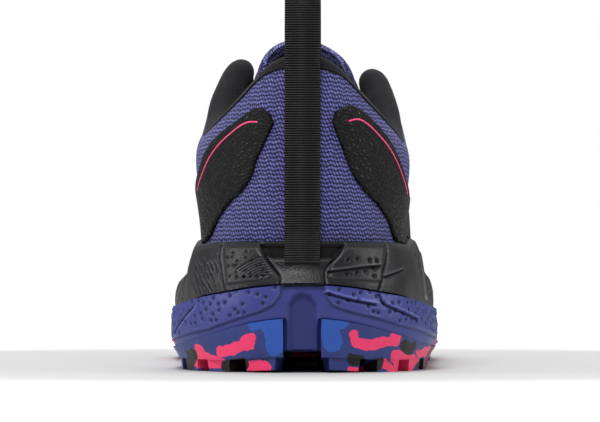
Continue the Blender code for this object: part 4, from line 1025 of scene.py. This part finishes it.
# Besides the height, the tone paints a highlight just inside a raised edge, shade just outside it, and
# painted shade over the whole inside by its last argument
def pad(where, course, height, edge, insideShade=0.0):  # raised or sunk area inside a closed course
    distance, _ = courseDistance(where, looped(course))
    signed = np.where(insideCourse(where, course), distance, -distance)
    lit = np.exp(-(((signed - 0.3 * edge) / (0.35 * edge)) ** 2)) * (height > 0)
    under = np.exp(-(((signed + 0.5 * edge) / (0.4 * edge)) ** 2)) * (height > 0)
    inside = smoothStep((signed + edge / 2) / edge)
    return np.stack([height * inside, 0.3 * lit - 0.45 * under - insideShade * inside])


# Each dimple also gets painted shade in its tone, darkest at its middle
def dimples(where, spots, radius, depth):
    sink = np.zeros(len(where))
    for spot in spots:
        near = np.abs(where - spot).max(1) < radius
        distance = np.linalg.norm(where[near] - spot, axis=1) / radius
        sink[near] = np.minimum(sink[near], -depth * np.clip(1 - distance**2, 0, 1) ** 1.2)
    return np.stack([sink, 0.85 * sink / depth])


def scatter(course, pitch, seed, jitter=0.22):  # staggered spots inside a closed course
    chance = np.random.default_rng(seed)
    low, high = course.min(0), course.max(0)
    spots = []
    for row, up in enumerate(np.arange(low[1], high[1], pitch * 0.87)):
        for across in np.arange(low[0] + (row % 2) * pitch / 2, high[0], pitch):
            spots.append((across, up) + chance.normal(0, jitter * pitch, 2))
    spots = np.array(spots)
    margin, _ = courseDistance(spots, looped(course))
    return spots[insideCourse(spots, course) & (margin > 0.25 * pitch)]


def sideMarks(values, low, high):  # the marks along both long sides, each with a maker of its courses
    order = np.argsort(sole["travel"])
    travels = sole["travel"][order]
    for side in (1, -1):
        for number in range(values["marks"]):
            def course(*places):  # distance on from the mark's start, and share of the layer's height
                on, share = np.array(places, float).T
                travel = side * (values["markStart"] + values["markStep"] * number + on) * mm
                floor, roof = (np.interp(travel, travels, level[order]) for level in (low, high))
                return np.stack([travel, floor + (roof - floor) * share], 1)

            yield number, course


def closeLoft(name, rings, relief, finish, slot, node):
    # The rings of the visible side are drawn finely, and relief gives the depth of its moulding and its tone
    # of painted shade and painted highlight
    first, last = 1, 5
    span = np.linspace(first, last, soleValues["sideRows"])
    side = through(np.arange(first, last + 1), rings[first:last + 1], span)
    where = np.stack([np.tile(sole["travel"], len(side)), side[..., 2].reshape(-1)], 1)
    normal = gridNormals(side, closed=True)
    facing = (normal[..., :2] * sole["outward"][None]).sum(-1, keepdims=True)
    depth, tone = relief(where).reshape(2, *side.shape[:2])
    side = side + normal * np.sign(facing) * depth[..., None]
    grid = np.concatenate([rings[:first], side, rings[last + 1:]])
    count, columns = grid.shape[:2]
    faces = gridFaces(count, columns, closed=True).tolist()
    faces += crossStrips(0, columns, True) + crossStrips((count - 1) * columns, columns, False)
    paintedShading = np.zeros((count, columns))
    paintedShading[first:first + len(side)] = np.clip(tone, -1, 1)
    piece = makePiece(name, grid, faces, (finish,), paintedShading=paintedShading)
    piece.data.set_sharp_from_angle(angle=math.radians(50))
    return place(piece, slot, node)


carrierValues = {
    # width, depth and lit lip of the lines, which get painted shade inside and a painted highlight on the lip
    "crease": (0.55 * mm, 0.9 * mm, 0.16 * mm),
    "groove": (0.55 * mm, 0.75 * mm, 0.10 * mm),
    "fold": (0.34 * mm, 0.20 * mm, 0.03 * mm),
    "crack": (0.45 * mm, 0.32 * mm, 0.04 * mm),
    # radius and depth of the holes, which get painted shade inside
    "pinhole": (0.55 * mm, 0.6 * mm),
    "rowHole": (0.75 * mm, 0.7 * mm),
    "hole": (0.95 * mm, 0.9 * mm),
    "pinPitch": 3.1 * mm,
    "holePitch": 4.0 * mm,
    # height and width of the edge of the areas; the window's third value is the share of painted shade inside
    # it
    "window": (-1.9 * mm, 0.6 * mm, 1.0),
    "centre": (0.5 * mm, 0.9 * mm),
    "panel": (0.4 * mm, 0.9 * mm),
    "sidePanel": (0.5 * mm, 1.6 * mm),
    "flare": 1.1 * mm,
    "flareTop": 36 * mm,
    "flareReach": 8 * mm,
    "flareFade": (60 * mm, 20 * mm),  # travel where the flare ends, and the length of its fading
    "apron": 1.3 * mm,
    "apronTop": 34 * mm,
    "apronReach": 6 * mm,
    "apronFade": (9 * mm, 3 * mm),
    # marks along the long sides: how many, and where they start, in mm of travel from the heel
    "marks": 6,
    "markStart": 62,
    "markStep": 38,
    # row of holes: height, start, end and spacing across, in mm
    "holeRow": (31.4, -22, -9, 2.3),
}
# Courses across the heel and up, in mm as seen from behind
carrierLines = {
    "crease": (
        ((-15.4, 42.0), (-13.3, 38.6), (-11.5, 36.2), (-9.1, 33.6), (-7.3, 31.3), (-7.0, 28.5)),
        ((15.1, 42.0), (12.2, 38.3), (9.1, 35.5), (7.3, 32.6), (7.0, 28.5)),
        ((-30.4, 42.0), (-30.0, 37.8), (-28.2, 33.0), (-25.7, 27.0)),
        ((31.0, 42.0), (29.9, 37.3), (27.9, 33.1), (25.2, 27.0)),
    ),
    "groove": (
        ((8.9, 32.9), (15.0, 33.6), (21.0, 34.4), (27.0, 34.9)),
        ((27.6, 31.2), (31.5, 32.3), (36.0, 33.8)),
    ),
    "fold": [
        ((-12.8 + 0.35 * step, 38.2 - 0.85 * step), (-16.0 + 0.3 * step, 37.5 - 0.8 * step),
         (-19.5 + 0.6 * step, 36.0 - 0.7 * step), (-22.5 + 1.1 * step, 34.0 - 0.45 * step))
        for step in range(8)
    ],
    "crack": [
        [(across + 2.2 * step + drift, height + 0.8 * math.sin(7 * across + height) - 3.0 * step)
         for step in (-0.5, 0.0, 0.4 + 0.3 * math.sin(5 * across - height))]
        for height, drift in ((35.5, 0.6), (33.4, -0.4), (31.2, 0.3), (29.0, -0.5), (26.9, 0.2))
        for across in (-38.6, -36.1, -33.2, -31.4)
    ],
}
centrePanel = ((-10.9, 37.0), (10.4, 37.0), (7.9, 32.6), (6.6, 28.0), (-6.6, 28.0), (-8.0, 32.6))
windowCourse = ((-15.6, 42.4), (15.3, 42.4), (11.2, 37.9), (-11.8, 37.9))
leftPanel = ((-28.6, 41.0), (-16.5, 41.0), (-12.0, 36.0), (-9.5, 31.2), (-25.0, 29.2))
rightPanel = ((16.2, 41.0), (29.4, 41.0), (26.0, 30.2), (9.0, 31.0), (10.5, 36.2))


def carrierRelief(where):
    values = carrierValues
    away, height = np.abs(where[:, 0]), where[:, 1]
    left, right = heelCourse(leftPanel), heelCourse(rightPanel)
    depth = np.zeros((2, len(where)))
    for kind, courses in carrierLines.items():
        for course in courses:
            depth += trough(where, heelCourse(course), *values[kind])
    depth += pad(where, heelCourse(windowCourse), *values["window"])
    depth += pad(where, heelCourse(centrePanel), *values["centre"])
    flare = smoothStep((values["flareTop"] - height) / values["flareReach"])
    end, fade = values["flareFade"]
    depth[0] += values["flare"] * flare * smoothStep((end - away) / fade)
    apron = smoothStep((values["apronTop"] - height) / values["apronReach"])
    end, fade = values["apronFade"]
    depth[0] += values["apron"] * smoothStep((end - away) / fade) * apron
    for panel in (left, right):
        depth += pad(where, panel, *values["panel"])
    depth += dimples(where, scatter(left, values["pinPitch"], 3), *values["pinhole"])
    depth += dimples(where, scatter(right, values["holePitch"], 5), *values["hole"])
    up, *span = values["holeRow"]
    row = heelCourse([(across, up) for across in np.arange(*span)])
    depth += dimples(where, row, *values["rowHole"])
    for number, course in sideMarks(values, sole["step"], sole["rim"]):
        depth += trough(where, course((0, 0.92), (10, 0.55), (26, 0.06)), *values["crease"])
        zone = course((6, 0.86), (32, 0.86), (54, 0.2), (34, 0.2))
        if number % 2 == 0:
            depth += dimples(where, scatter(zone, values["holePitch"], 20 + number), *values["hole"])
        else:
            depth += pad(where, zone, *values["sidePanel"])
    return depth


def makeCarrier(values):
    stations, rim, rise, along = (sole[key] for key in ("stations", "rim", "rimRise", "along"))
    gap, wall = shoe["gap"], values["rimWall"]
    ledge = values["stepLedge"] * (0.35 + 0.65 * smoothStep((along - 0.02) / 0.1))
    ledge = ledge * (1 - 0.6 * smoothStep((along - 0.30) / 0.30))
    low = soleRing(ledge, sole["step"] + gap / 2)
    outer = besideSkin(stations, rise, gap + wall)
    outward = np.pad(sole["outward"], ((0, 0), (0, 1)))

    def side(share, bulge):
        ring = low + (outer - low) * share + outward * bulge
        ring[:, 2] = low[:, 2] + (rim - low[:, 2]) * share
        return ring

    def topEdge(inward, drop):
        ring = outer - outward * inward * wall
        ring[:, 2] = rim - drop
        return ring

    foot = besideSkin(stations, 0.0, gap)
    foot[:, 2] = sole["bed"] - gap
    rings = [soleRing(values["coreInset"], sole["core"] + gap / 2), low]
    rings += [side(*ring) for ring in ((0.3, 0.5 * mm), (0.6, 0.7 * mm), (0.86, 0.3 * mm))]
    rings += [topEdge(*ring) for ring in ((0.12, 0.5 * mm), (0.35, 0.0), (0.7, 0.0))]
    rings += [besideSkin(stations, rise, gap), besideSkin(stations, rise / 2, gap), foot]
    return closeLoft("carrier_foam", rings, carrierRelief, darkFoam, "dark_foam", "carrier")


makeCarrier(soleValues)
print("carrier done")

midsoleValues = {
    # height and width of the edge of the areas, with the share of painted shade inside the channel, radius
    # and depth of a dimple, width, depth and lip of a line
    "channel": (-2.3 * mm, 2.4 * mm, 0.25),
    "panel": (1.0 * mm, 0.9 * mm),
    "dimple": (0.9 * mm, 0.7 * mm),
    "groove": (0.6 * mm, 0.8 * mm, 0.3 * mm),
    "sideGroove": (0.7 * mm, 0.8 * mm, 0.3 * mm),
    "pitch": 3.6 * mm,
    "jitter": 0.16,
    "marks": 7,
    "markStart": 84,
    "markStep": 32,
}
channelCourse = ((-4.3, 5.0), (-4.3, 22.0), (-2.6, 24.9), (0.0, 25.8), (2.8, 24.9), (4.5, 22.0), (4.5, 5.0))
leftFoam = ((-7.0, 31.0), (-7.3, 25.5), (-9.6, 22.4), (-14.0, 20.2), (-22.0, 17.6), (-31.0, 14.4),
            (-44.0, 11.0), (-70.0, 10.0), (-70.0, 31.0))
rightFoam = ((7.3, 31.0), (7.9, 25.5), (10.2, 22.2), (15.0, 20.4), (23.0, 18.4), (32.0, 15.6),
             (44.0, 12.0), (70.0, 10.5), (70.0, 31.0))
foamGrooves = (
    ((8.0, 25.9), (13.0, 24.4), (18.0, 23.2), (23.5, 22.2)),
    ((25.0, 25.6), (26.3, 22.5), (31.0, 20.2), (37.5, 17.0)),
    ((-36.0, 21.5), (-40.0, 17.0), (-43.0, 12.5)),
)


def midsoleRelief(where):
    values = midsoleValues
    shown = smoothStep((where[:, 1] - np.tile(sole["wrap"], soleValues["sideRows"])) / (0.5 * mm))
    shown = np.maximum(shown, np.abs(where[:, 0]) < soleValues["slot"] - 0.8 * mm)
    depth = pad(where, heelCourse(channelCourse), *values["channel"])

    def dimpled(zone, seed):
        return dimples(where, scatter(zone, values["pitch"], seed, values["jitter"]), *values["dimple"])

    for number, course in enumerate((leftFoam, rightFoam)):
        zone = heelCourse(course)
        depth += pad(where, zone, *values["panel"])
        depth += dimpled(zone, 40 + number)
    for course in foamGrooves:
        depth += trough(where, heelCourse(course), *values["groove"])
    for number, course in sideMarks(values, sole["wrap"], sole["step"]):
        depth += trough(where, course((0, 0.90), (14, 0.50), (40, 0.22)), *values["sideGroove"])
        depth += dimpled(course((8, 0.9), (38, 0.9), (44, 0.35), (22, 0.45)), 60 + number)
    return depth * shown


def makeMidsole(values):
    gap, rubberThick = shoe["gap"], values["rubber"]
    wrap = np.maximum(sole["wrap"], sole["tread"] + values["lug"] + rubberThick + 0.6 * mm)
    step = sole["step"] - gap / 2
    slot = smoothStep((values["slot"] - np.abs(sole["travel"])) / (0.8 * mm))
    tuck = rubberThick - values["rubberProud"] + gap
    foot = sheetRing(values["treadInset"] + rubberThick + gap, rubberThick + gap)
    filled = soleRing(1.2 * mm, foot[:, 2])
    rings = [
        sheetRing(values["coreInset"], rubberThick + gap),
        foot + (filled - foot) * slot[:, None],
        soleRing(tuck + (0.5 * mm - tuck) * slot, wrap + gap - slot * 2 * mm),
        soleRing(0.35 * mm, wrap + gap),
        soleRing(0.0, wrap + 0.5 * (step - wrap)),
        soleRing(0.5 * mm, step - 0.5 * mm),
        soleRing(1.6 * mm, step),
        soleRing(values["coreInset"], sole["core"] - gap / 2),
    ]
    return closeLoft("midsole_foam", rings, midsoleRelief, lightFoam, "light_foam", "midsole")


makeMidsole(soleValues)
print("midsole done")

outsoleValues = {"weld": 0.01 * mm, "bevel": 0.3 * mm, "segments": 2, "angle": 38}
for node, finish in (("outsole", camoRubber), ("insole", liningCloth)):  # CAD nodes that stay
    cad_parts[node].data.materials.clear()
    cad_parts[node].data.materials.append(finish)
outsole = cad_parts["outsole"]
outsole.modifiers.new("weld", "WELD").merge_threshold = outsoleValues["weld"]
soften = outsole.modifiers.new("soften", "BEVEL")
soften.width, soften.segments = outsoleValues["bevel"], outsoleValues["segments"]
soften.limit_method, soften.angle_limit = "ANGLE", math.radians(outsoleValues["angle"])


# Throat: a surface that bridges the two topline edges, for the tongue and the laces

def bridge(station, share, depth, reach):
    station, share = np.broadcast_arrays(np.asarray(station, float), share)
    edge, brink, found = 0.985, 0.5, []
    far = np.clip((np.abs(share) - brink) / (1 - brink), 0, 1)
    for medial in (False, True):
        own = sided(station, medial)
        beside = besideSkin(own, edge - (edge - reach) * far, depth(own))
        top = besideSkin(own, edge, depth(own))
        below = besideSkin(own, edge - 0.06, depth(own))
        found.append((beside, top, unit(top - below)))
    (lateral, lateralTop, lateralRun), (medial, medialTop, medialRun) = found
    pull = np.linalg.norm(lateralTop - medialTop, axis=-1, keepdims=True) * 1.1
    place = np.clip((share + brink) / (2 * brink), 0, 1)[..., None]
    arched = (medialTop * (1 + 2 * place) * (1 - place) ** 2 + medialRun * pull * place * (1 - place) ** 2
              + lateralTop * place**2 * (3 - 2 * place) - lateralRun * pull * place**2 * (place - 1))
    share = share[..., None]
    return np.where(share > brink, lateral, np.where(share < -brink, medial, arched))


tongueValues = {
    "thick": 4.2 * mm,
    "thinEdge": 0.45,
    "rise": 16 * mm,
    "taper": 0.14,
    "rows": 110,
    "across": 61,
    "band": 3.6 * mm,  # knit band inside the top edge
    "round": 2.1 * mm,
    "quilt": 0.35 * mm,
    "quiltPitch": 9 * mm,
    "fill": 0.8,
}
tongueStations = (13.5, 13.1, 12.75, 12.3, 11.6, 10.8, 10.0, 9.2, 8.4, 7.7, 7.15)


def makeTongue(values):
    controls = np.array(tongueStations)
    shares = np.linspace(-1, 1, values["across"])
    middle = len(shares) // 2
    reach = np.interp(controls, (7.15, 8.4, 12.75), (0.90, 0.86, 0.86))

    def depth(station):
        return -(wallAt(np.minimum(station, stationCount - station), 1.0) + 2 * shoe["gap"])

    grid = bridge(controls[:, None], shares[None], depth, reach[:, None])
    slope = unit(grid[-1] - grid[-3])[middle]
    rise = values["rise"] * (1 - 0.45 * shares**2)[:, None]
    inward = (grid[-1, middle] - grid[-1]) * np.array([values["taper"], 0, 0])
    grid = np.concatenate([grid, [grid[-1] + (slope * rise + inward) * part for part in (0.5, 1.0)]])
    fine = resampled(grid, values["rows"], arcLengths(grid)[:, middle])
    normals = gridNormals(fine)
    normals = normals * np.sign(normals[..., 2:].mean())
    thins = np.interp(np.abs(shares), (0, 0.75, 1), (1, 1, values["thinEdge"]))
    thick = values["thick"] * thins[None, :, None]
    along, across = arcLengths(fine, 0), arcLengths(fine, 1)
    top = along[-1:] - along
    border = np.minimum.reduce([top, across, across[:, -1:] - across])
    border = np.clip(border / values["round"], 0, 1)[..., None]
    shrink = (1 - rounded(border)) * thick * 0.5
    quilt = values["quilt"] * np.abs(np.sin(math.pi * along / values["quiltPitch"]))[..., None] * border
    outer = fine - normals * (shrink + values["quilt"]) + normals * quilt
    points, faces = slab(outer, fine - normals * (thick - shrink))
    uv = np.tile(np.stack([across, along], -1).reshape(-1, 2), (2, 1))
    row, count = len(shares) - 1, (values["rows"] - 1) * (len(shares) - 1)
    lining = np.zeros(len(faces), int)
    lining[count:2 * count] = np.repeat(top[:-1].mean(1) > values["band"], row)
    piece = makePiece("tongue_body", points, faces, (upperKnit, liningCloth), lining, uv)
    place(piece, "upper_knit", "tongue")


makeTongue(tongueValues)
print("tongue done")


def ribbonGrid(points, normals, width, thickness, corners=16):  # flat band with rounded edges
    course = np.gradient(points, axis=0)
    side = unit(np.cross(course, normals))
    lift = unit(np.cross(side, course))
    turns = np.linspace(0, 2 * math.pi, corners, endpoint=False)
    wide = np.sign(np.cos(turns)) * np.abs(np.cos(turns)) ** 0.35 * width / 2
    high = np.sign(np.sin(turns)) * np.abs(np.sin(turns)) ** 0.6 * thickness / 2
    return points[:, None] + side[:, None] * wide[None, :, None] + lift[:, None] * high[None, :, None]


def tubePiece(name, grid, finish):
    rows, corners = grid.shape[:2]
    faces = gridFaces(rows, corners, closed=True).tolist()
    faces += [list(range(corners))[::-1], list(range((rows - 1) * corners, rows * corners))]
    along = arcLengths(grid)
    across = np.broadcast_to(np.arange(corners) / corners * 12 * mm, along.shape)
    return makePiece(name, grid, faces, (finish,), uv=np.stack([across, along], -1))


laceValues = {
    "width": 5.5 * mm,
    "thickness": 1.6 * mm,
    "lift": 0.8 * mm,
    "dive": 0.34,
    "tuck": 0.66,
    "press": 1.2 * mm,
    "rows": 64,
    "endWidth": 3.0 * mm,
    "endThickness": 2.4 * mm,
    "endCourse": ((-1.5, 0.0), (0.5, 0.0), (2.2, 0.7), (3.4, 2.6)),  # out of the eyelet and up, in mm
    "samples": 52,
}


def laceCourse(low, high, side, lift, values):  # from the low eyelet across to under the far edge
    travel = np.linspace(-1.0, values["tuck"], values["samples"])
    share = side * travel
    station = low + (high - low) * (travel + 1) / 2
    half = shoe["gap"] + values["thickness"] / 2
    above = shoe["seatGap"] + shoe["overlay"] + half
    below = half - shoe["wall"] - 2 * shoe["gap"]
    offset = above + (below - above) * smoothStep((travel + 0.5) / (values["dive"] + 0.5))
    offset = offset - values["press"] * smoothStep((travel - 0.22) / 0.28)
    reach = aboveRim(station, eyeletShare)

    def at(place, cross):
        return bridge(place, cross, lambda own: offset, reach)

    points = at(station, share)
    run = at(station, share + 0.05) - at(station, share - 0.05)
    climb = at(station + 0.05, share) - at(station - 0.05, share)
    normals = unit(np.cross(run, climb))
    points = points + normals * (lift * (1 - share**2))[:, None]
    centre, axis = eyeletFrame(low, side > 0)
    start = unit(points[0] - points[1])
    course = np.concatenate([[centre - axis * 1.2 * mm, centre + axis * 0.9 * mm], points])
    facing = np.concatenate([[start, unit(start + axis)], normals])
    knots = arcLengths(course)
    return resampled(course, values["rows"], knots), unit(resampled(facing, values["rows"], knots))


def makeLaces(values):
    half = values["thickness"] / 2
    for number, (low, high) in enumerate(zip(eyeletStations, eyeletStations[1:]), 1):
        for word, side, lift in (("over", 1, values["lift"] + half), ("under", -1, values["lift"])):
            points, normals = laceCourse(low, high, side, lift, values)
            grid = ribbonGrid(points, normals, values["width"], values["thickness"])
            nodes = [f"lace_crossing_{number}"] if word == "over" else []
            place(tubePiece(f"lace_{number}_{word}", grid, laceCloth), "lace", *nodes)


makeLaces(laceValues)
print("laces done")


# Pull loop with its woven ribs and stitches

loopValues = {
    "width": 12 * mm,
    "thickness": 1.5 * mm,
    "rise": 27 * mm,
    "low": 0.837,
    "rib": 0.80 * mm,
    "ribThick": 0.46 * mm,
    "steps": 240,
    "samples": 60,
    "nearby": 3 * mm,
    "soften": 2.4 * mm,
}


def nodeTree(node):
    shaped = bmesh.new()
    shaped.from_mesh(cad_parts[node].data)
    tree = BVHTree.FromBMesh(shaped)
    shaped.free()
    return tree


def loopCourse(values):  # up the back of the heel, over in an arch and down inside the collar
    trees = [nodeTree("carrier"), nodeTree("upper")]
    axis, clear = shoe["heelAxis"], shoe["gap"] + values["thickness"] / 2
    top = 0.985 * shoe["collarHeight"]
    heights = np.linspace(values["low"] * shoe["rimHeight"], top, values["samples"])
    behind = []
    for height in heights:
        start = Vector((axis, -shoe["length"], height))
        hits = [tree.ray_cast(start, Vector((0, 1, 0)))[0] for tree in trees]
        behind.append(min(hit.y for hit in hits if hit))
    apart = np.abs(heights[:, None] - heights[None])
    behind = np.where(apart < values["nearby"], np.array(behind)[None], 1).min(1)
    soft = np.exp(-((apart / values["soften"]) ** 2))
    behind = (soft * behind).sum(1) / soft.sum(1)
    picked = np.linspace(0, values["samples"] - 1, 14).round().astype(int)
    outer = [(behind[step] - clear, heights[step]) for step in picked]
    inner = []
    stations = np.linspace(-1, 1, 21)
    for rise in (1.0, 0.95, 0.90, 0.86):
        face = besideSkin(stations, rise, -wallAt(stations, rise))
        faced = face[np.abs(face[:, 0] - axis) < values["width"] / 2 + shoe["gap"]]
        inner.append((faced[:, 1].max() + clear + shoe["gap"], faced[:, 2].mean()))
    apex = shoe["collarHeight"] + values["rise"] + values["thickness"] / 2
    base = outer[-1][1] + 0.3 * values["rise"]
    centre, half = (outer[-1][0] + inner[0][0]) / 2, (inner[0][0] - outer[-1][0]) / 2
    arch = [(centre + half * math.cos(turn), base + (apex - base) * math.sin(turn))
            for turn in np.linspace(math.pi, 0, 9)]
    path = np.array([(axis, y, z) for y, z in outer + arch + inner])
    points = resampled(path, values["steps"], arcLengths(path))
    return points, unit(np.cross(np.gradient(points, axis=0), np.array([1.0, 0, 0])))


def barTree(name):  # rounded bars set square to a path, from named inputs
    tree = bpy.data.node_groups.new(name, "GeometryNodeTree")
    face = tree.interface
    face.new_socket("Path", in_out="INPUT", socket_type="NodeSocketGeometry")
    for word, value in (("Spacing", 0.8 * mm), ("Length", 12 * mm), ("Thickness", 0.4 * mm), ("Turn", 0.0)):
        face.new_socket(word, in_out="INPUT", socket_type="NodeSocketFloat").default_value = value
    face.new_socket("Finish", in_out="INPUT", socket_type="NodeSocketMaterial")
    face.new_socket("Bars", in_out="OUTPUT", socket_type="NodeSocketGeometry")
    given = {socket.name: Field(tree, socket) for socket in tree.nodes.new("NodeGroupInput").outputs}

    def add(kind, inputs=(), **settings):
        return wire(tree, kind, inputs, **settings)

    curve = add("GeometryNodeMeshToCurve", (given["Path"],))
    spaced = add("GeometryNodeResampleCurve", {"Curve": curve, "Length": given["Spacing"]}, mode="LENGTH")
    facing = add("GeometryNodeInputNamedAttribute", {"Name": "facing"}, data_type="FLOAT_VECTOR")
    upright = add("FunctionNodeAlignRotationToVector", {"Vector": facing}, axis="Z")
    turned = add("FunctionNodeAlignRotationToVector",
                 {"Rotation": upright, "Vector": add("GeometryNodeInputTangent")}, axis="Y", pivot_axis="Z")
    spin = add("FunctionNodeEulerToRotation", (add("ShaderNodeCombineXYZ", (0.0, 0.0, given["Turn"])),))
    turned = add("FunctionNodeRotateRotation", (turned, spin), rotation_space="LOCAL")
    rod = add("GeometryNodeMeshCylinder", {"Vertices": 8, "Radius": 0.5, "Depth": 1.0},
              fill_type="TRIANGLE_FAN")
    size = add("ShaderNodeCombineXYZ", (given["Thickness"], given["Thickness"], given["Length"]))
    bar = add("GeometryNodeTransform", {"Geometry": rod, "Scale": size})
    bar = add("GeometryNodeTransform", {"Geometry": bar, "Rotation": (0, math.pi / 2, 0)})
    rows = add("GeometryNodeInstanceOnPoints", {"Points": spaced, "Instance": bar, "Rotation": turned})
    smooth = add("GeometryNodeSetShadeSmooth", (add("GeometryNodeRealizeInstances", (rows,)),))
    done = add("GeometryNodeSetMaterial", {"Geometry": smooth, "Material": given["Finish"]})
    tree.links.new(done.socket, tree.nodes.new("NodeGroupOutput").inputs[0])
    return tree


bars = barTree("barsOnPath")


def barsOnPath(name, points, normals, inputs, slot):
    mesh = bpy.data.meshes.new(name)
    mesh.from_pydata(points.tolist(), [(step, step + 1) for step in range(len(points) - 1)], [])
    layer = mesh.attributes.new("facing", "FLOAT_VECTOR", "POINT")
    layer.data.foreach_set("vector", normals.astype(np.float32).ravel())
    piece = addObject(name, mesh)
    modifier = piece.modifiers.new("bars", "NODES")
    modifier.node_group = bars
    sockets = {item.name: item.identifier for item in bars.interface.items_tree if item.in_out == "INPUT"}
    for word, value in inputs.items():
        modifier[sockets[word]] = value
    applyModifiers(piece)
    return place(piece, slot)


def makeLoop(values):
    points, normals = loopCourse(values)
    core = ribbonGrid(points, normals, values["width"] * 0.985, values["thickness"] * 0.72, 20)
    place(tubePiece("pull_loop_band", core, webbingCloth), "webbing", "pull_loop")
    lift = (values["thickness"] - values["ribThick"]) / 2
    ribs = {"Spacing": values["rib"], "Length": values["width"] * 0.97, "Thickness": values["ribThick"],
            "Finish": ribCloth}
    for word, way in (("outer", 1), ("inner", -1)):
        barsOnPath(f"pull_loop_ribs_{word}", points + normals * way * lift, normals, ribs, "webbing")
    return points, normals


loopPoints, loopNormals = makeLoop(loopValues)
print("pull loop done")


# Stitches: rows of thread along paths

stitch = {
    "Spacing": 2.3 * mm,
    "Length": 1.7 * mm,
    "Thickness": 0.42 * mm,
    "Turn": math.pi / 2,
    "Finish": threadCloth,
}
strapStitch = {**stitch, "Spacing": 1.1 * mm, "Length": 0.8 * mm, "Thickness": 0.36 * mm, "Finish": ribCloth}
strapRows = {"heights": (84 * mm, 91.5 * mm, 47 * mm), "half": 5.0 * mm, "outside": 140}


def makeStitches(values):
    over = shoe["seatGap"] + shoe["overlay"]
    seam = [(station, low + 0.022) for station, _, _, low in panels["eyestay"]]
    for side in sides:
        barsOnPath(f"eyestay_stitch_{side}", *skinPath(seam, side == "medial", over), stitch, "eyestay_film")
    lift = 0.55 * loopValues["thickness"]
    across = np.linspace(-values["half"], values["half"], 12)
    for number, height in enumerate(values["heights"], 1):
        spot = int(np.argmin(np.abs(loopPoints[:values["outside"], 2] - height)))
        line = loopPoints[spot] + loopNormals[spot] * lift + np.outer(across, (1.0, 0, 0))
        facing = np.repeat(loopNormals[[spot]], len(line), 0)
        barsOnPath(f"strap_stitch_{number}", line, facing, strapStitch, "webbing")


makeStitches(strapRows)


def makeLaceEnds(values):  # the ends that show past the top eyelets
    for side in sides:
        centre, axis = eyeletFrame(eyeletStations[-1], side == "medial")
        up = unit(skin(eyeletStations[-1], 1.0) - skin(eyeletStations[-1], 0.9))
        up = up * np.array([-1.0 if side == "medial" else 1.0, 1, 1])
        reach, rise = np.array(values["endCourse"]).T * mm
        course = centre + np.outer(reach, axis) + np.outer(rise, up)
        points = resampled(course, 16, arcLengths(course))
        facing = np.repeat([unit(np.cross(axis, up))], len(points), 0)
        grid = ribbonGrid(points, facing, values["endWidth"], values["endThickness"])
        place(tubePiece(f"lace_end_{side}", grid, laceCloth), "lace")


makeLaceEnds(laceValues)
print("stitches and lace ends done")


# Floor, light and camera

stage = {
    "low": 0.06,
    "high": 0.80,
    "floor": 0.47,
    "clear": (0.19, 0.36),  # distances where the paper begins and ends to brighten
    "floorHalf": 6.0,
    "lampAim": (0, -0.08, 0.05),
    "lamps": {  # place, size and power
        "key": ((-0.25, -0.95, 1.05), 0.35, 9.5),
        "above": ((0.0, 0.45, 1.25), 0.8, 13.0),
        "left": ((-1.1, -0.25, 0.40), 0.4, 4.5),
        "right": ((1.1, -0.25, 0.40), 0.4, 4.5),
    },
}


def makeSky(values):  # soft light that grows towards the zenith, seen as plain white
    world = bpy.data.worlds.new("studio")
    bpy.context.scene.world = world
    world.use_nodes = True
    tree = world.node_tree
    up = wire(tree, "ShaderNodeSeparateXYZ", (wire(tree, "ShaderNodeTexCoord", out="Generated"),), "Z")
    soft = spread(up, -0.1, 1.0, values["low"], values["high"])
    seen = wire(tree, "ShaderNodeLightPath", out="Is Camera Ray")
    background = tree.nodes["Background"]
    background.inputs["Color"].default_value = grey(1.0)
    tree.links.new(maths("MAXIMUM", soft, seen).socket, background.inputs["Strength"])


def makeFloor(values):  # paper that brightens to white away from the shoe
    mesh = bpy.data.meshes.new("floor")
    wide = values["floorHalf"]
    corners = [(-wide, -wide, 0), (wide, -wide, 0), (wide, wide, 0), (-wide, wide, 0)]
    mesh.from_pydata(corners, [], [(0, 1, 2, 3)])
    material, tree = newFinish("floorPaper", 1.0, Specular_IOR_Level=0.0, Emission_Color=grey(1.0),
                               Base_Color=grey(values["floor"]))
    away = vector("LENGTH", objectPlace(tree), out="Value")
    glow = spread(away, *values["clear"], 0.0, 1.0, interpolation_type="SMOOTHSTEP")
    seen = wire(tree, "ShaderNodeLightPath", out="Is Camera Ray")
    mesh.materials.append(dress(material, {"Emission Strength": glow * seen}))
    floor = addObject("floor", mesh)


def turnedTo(way):
    return Vector(way).to_track_quat("-Z", "Y").to_euler()


def makeLamps(values):
    for name, (where, size, power) in values["lamps"].items():
        lamp = bpy.data.lights.new(name, "AREA")
        lamp.size, lamp.energy = size, power
        holder = addObject(name, lamp)
        holder.location = where
        holder.rotation_euler = turnedTo(Vector(values["lampAim"]) - Vector(where))


# Degrees and metres; the sensor is wide and the lens long, as in the photo
view = {"lens": 183.6, "sensor": 36.0, "place": (0.025534, -1.142758, 0.030), "yaw": 1.3, "pitch": 1.318}


def makeCamera(values):
    camera = bpy.data.cameras.new("photoView")
    camera.lens, camera.sensor_width, camera.clip_end = values["lens"], values["sensor"], 20
    yaw, pitch = math.radians(values["yaw"]), math.radians(values["pitch"])
    holder = addObject("photoView", camera)
    holder.location = values["place"]
    holder.rotation_euler = turnedTo((-math.sin(yaw) * math.cos(pitch), math.cos(yaw) * math.cos(pitch),
                                      math.sin(pitch)))
    bpy.context.scene.camera = holder


makeSky(stage)
makeFloor(stage)
makeLamps(stage)
bpy.context.scene.view_settings.view_transform = "Standard"
makeCamera(view)
print("stage and camera done")
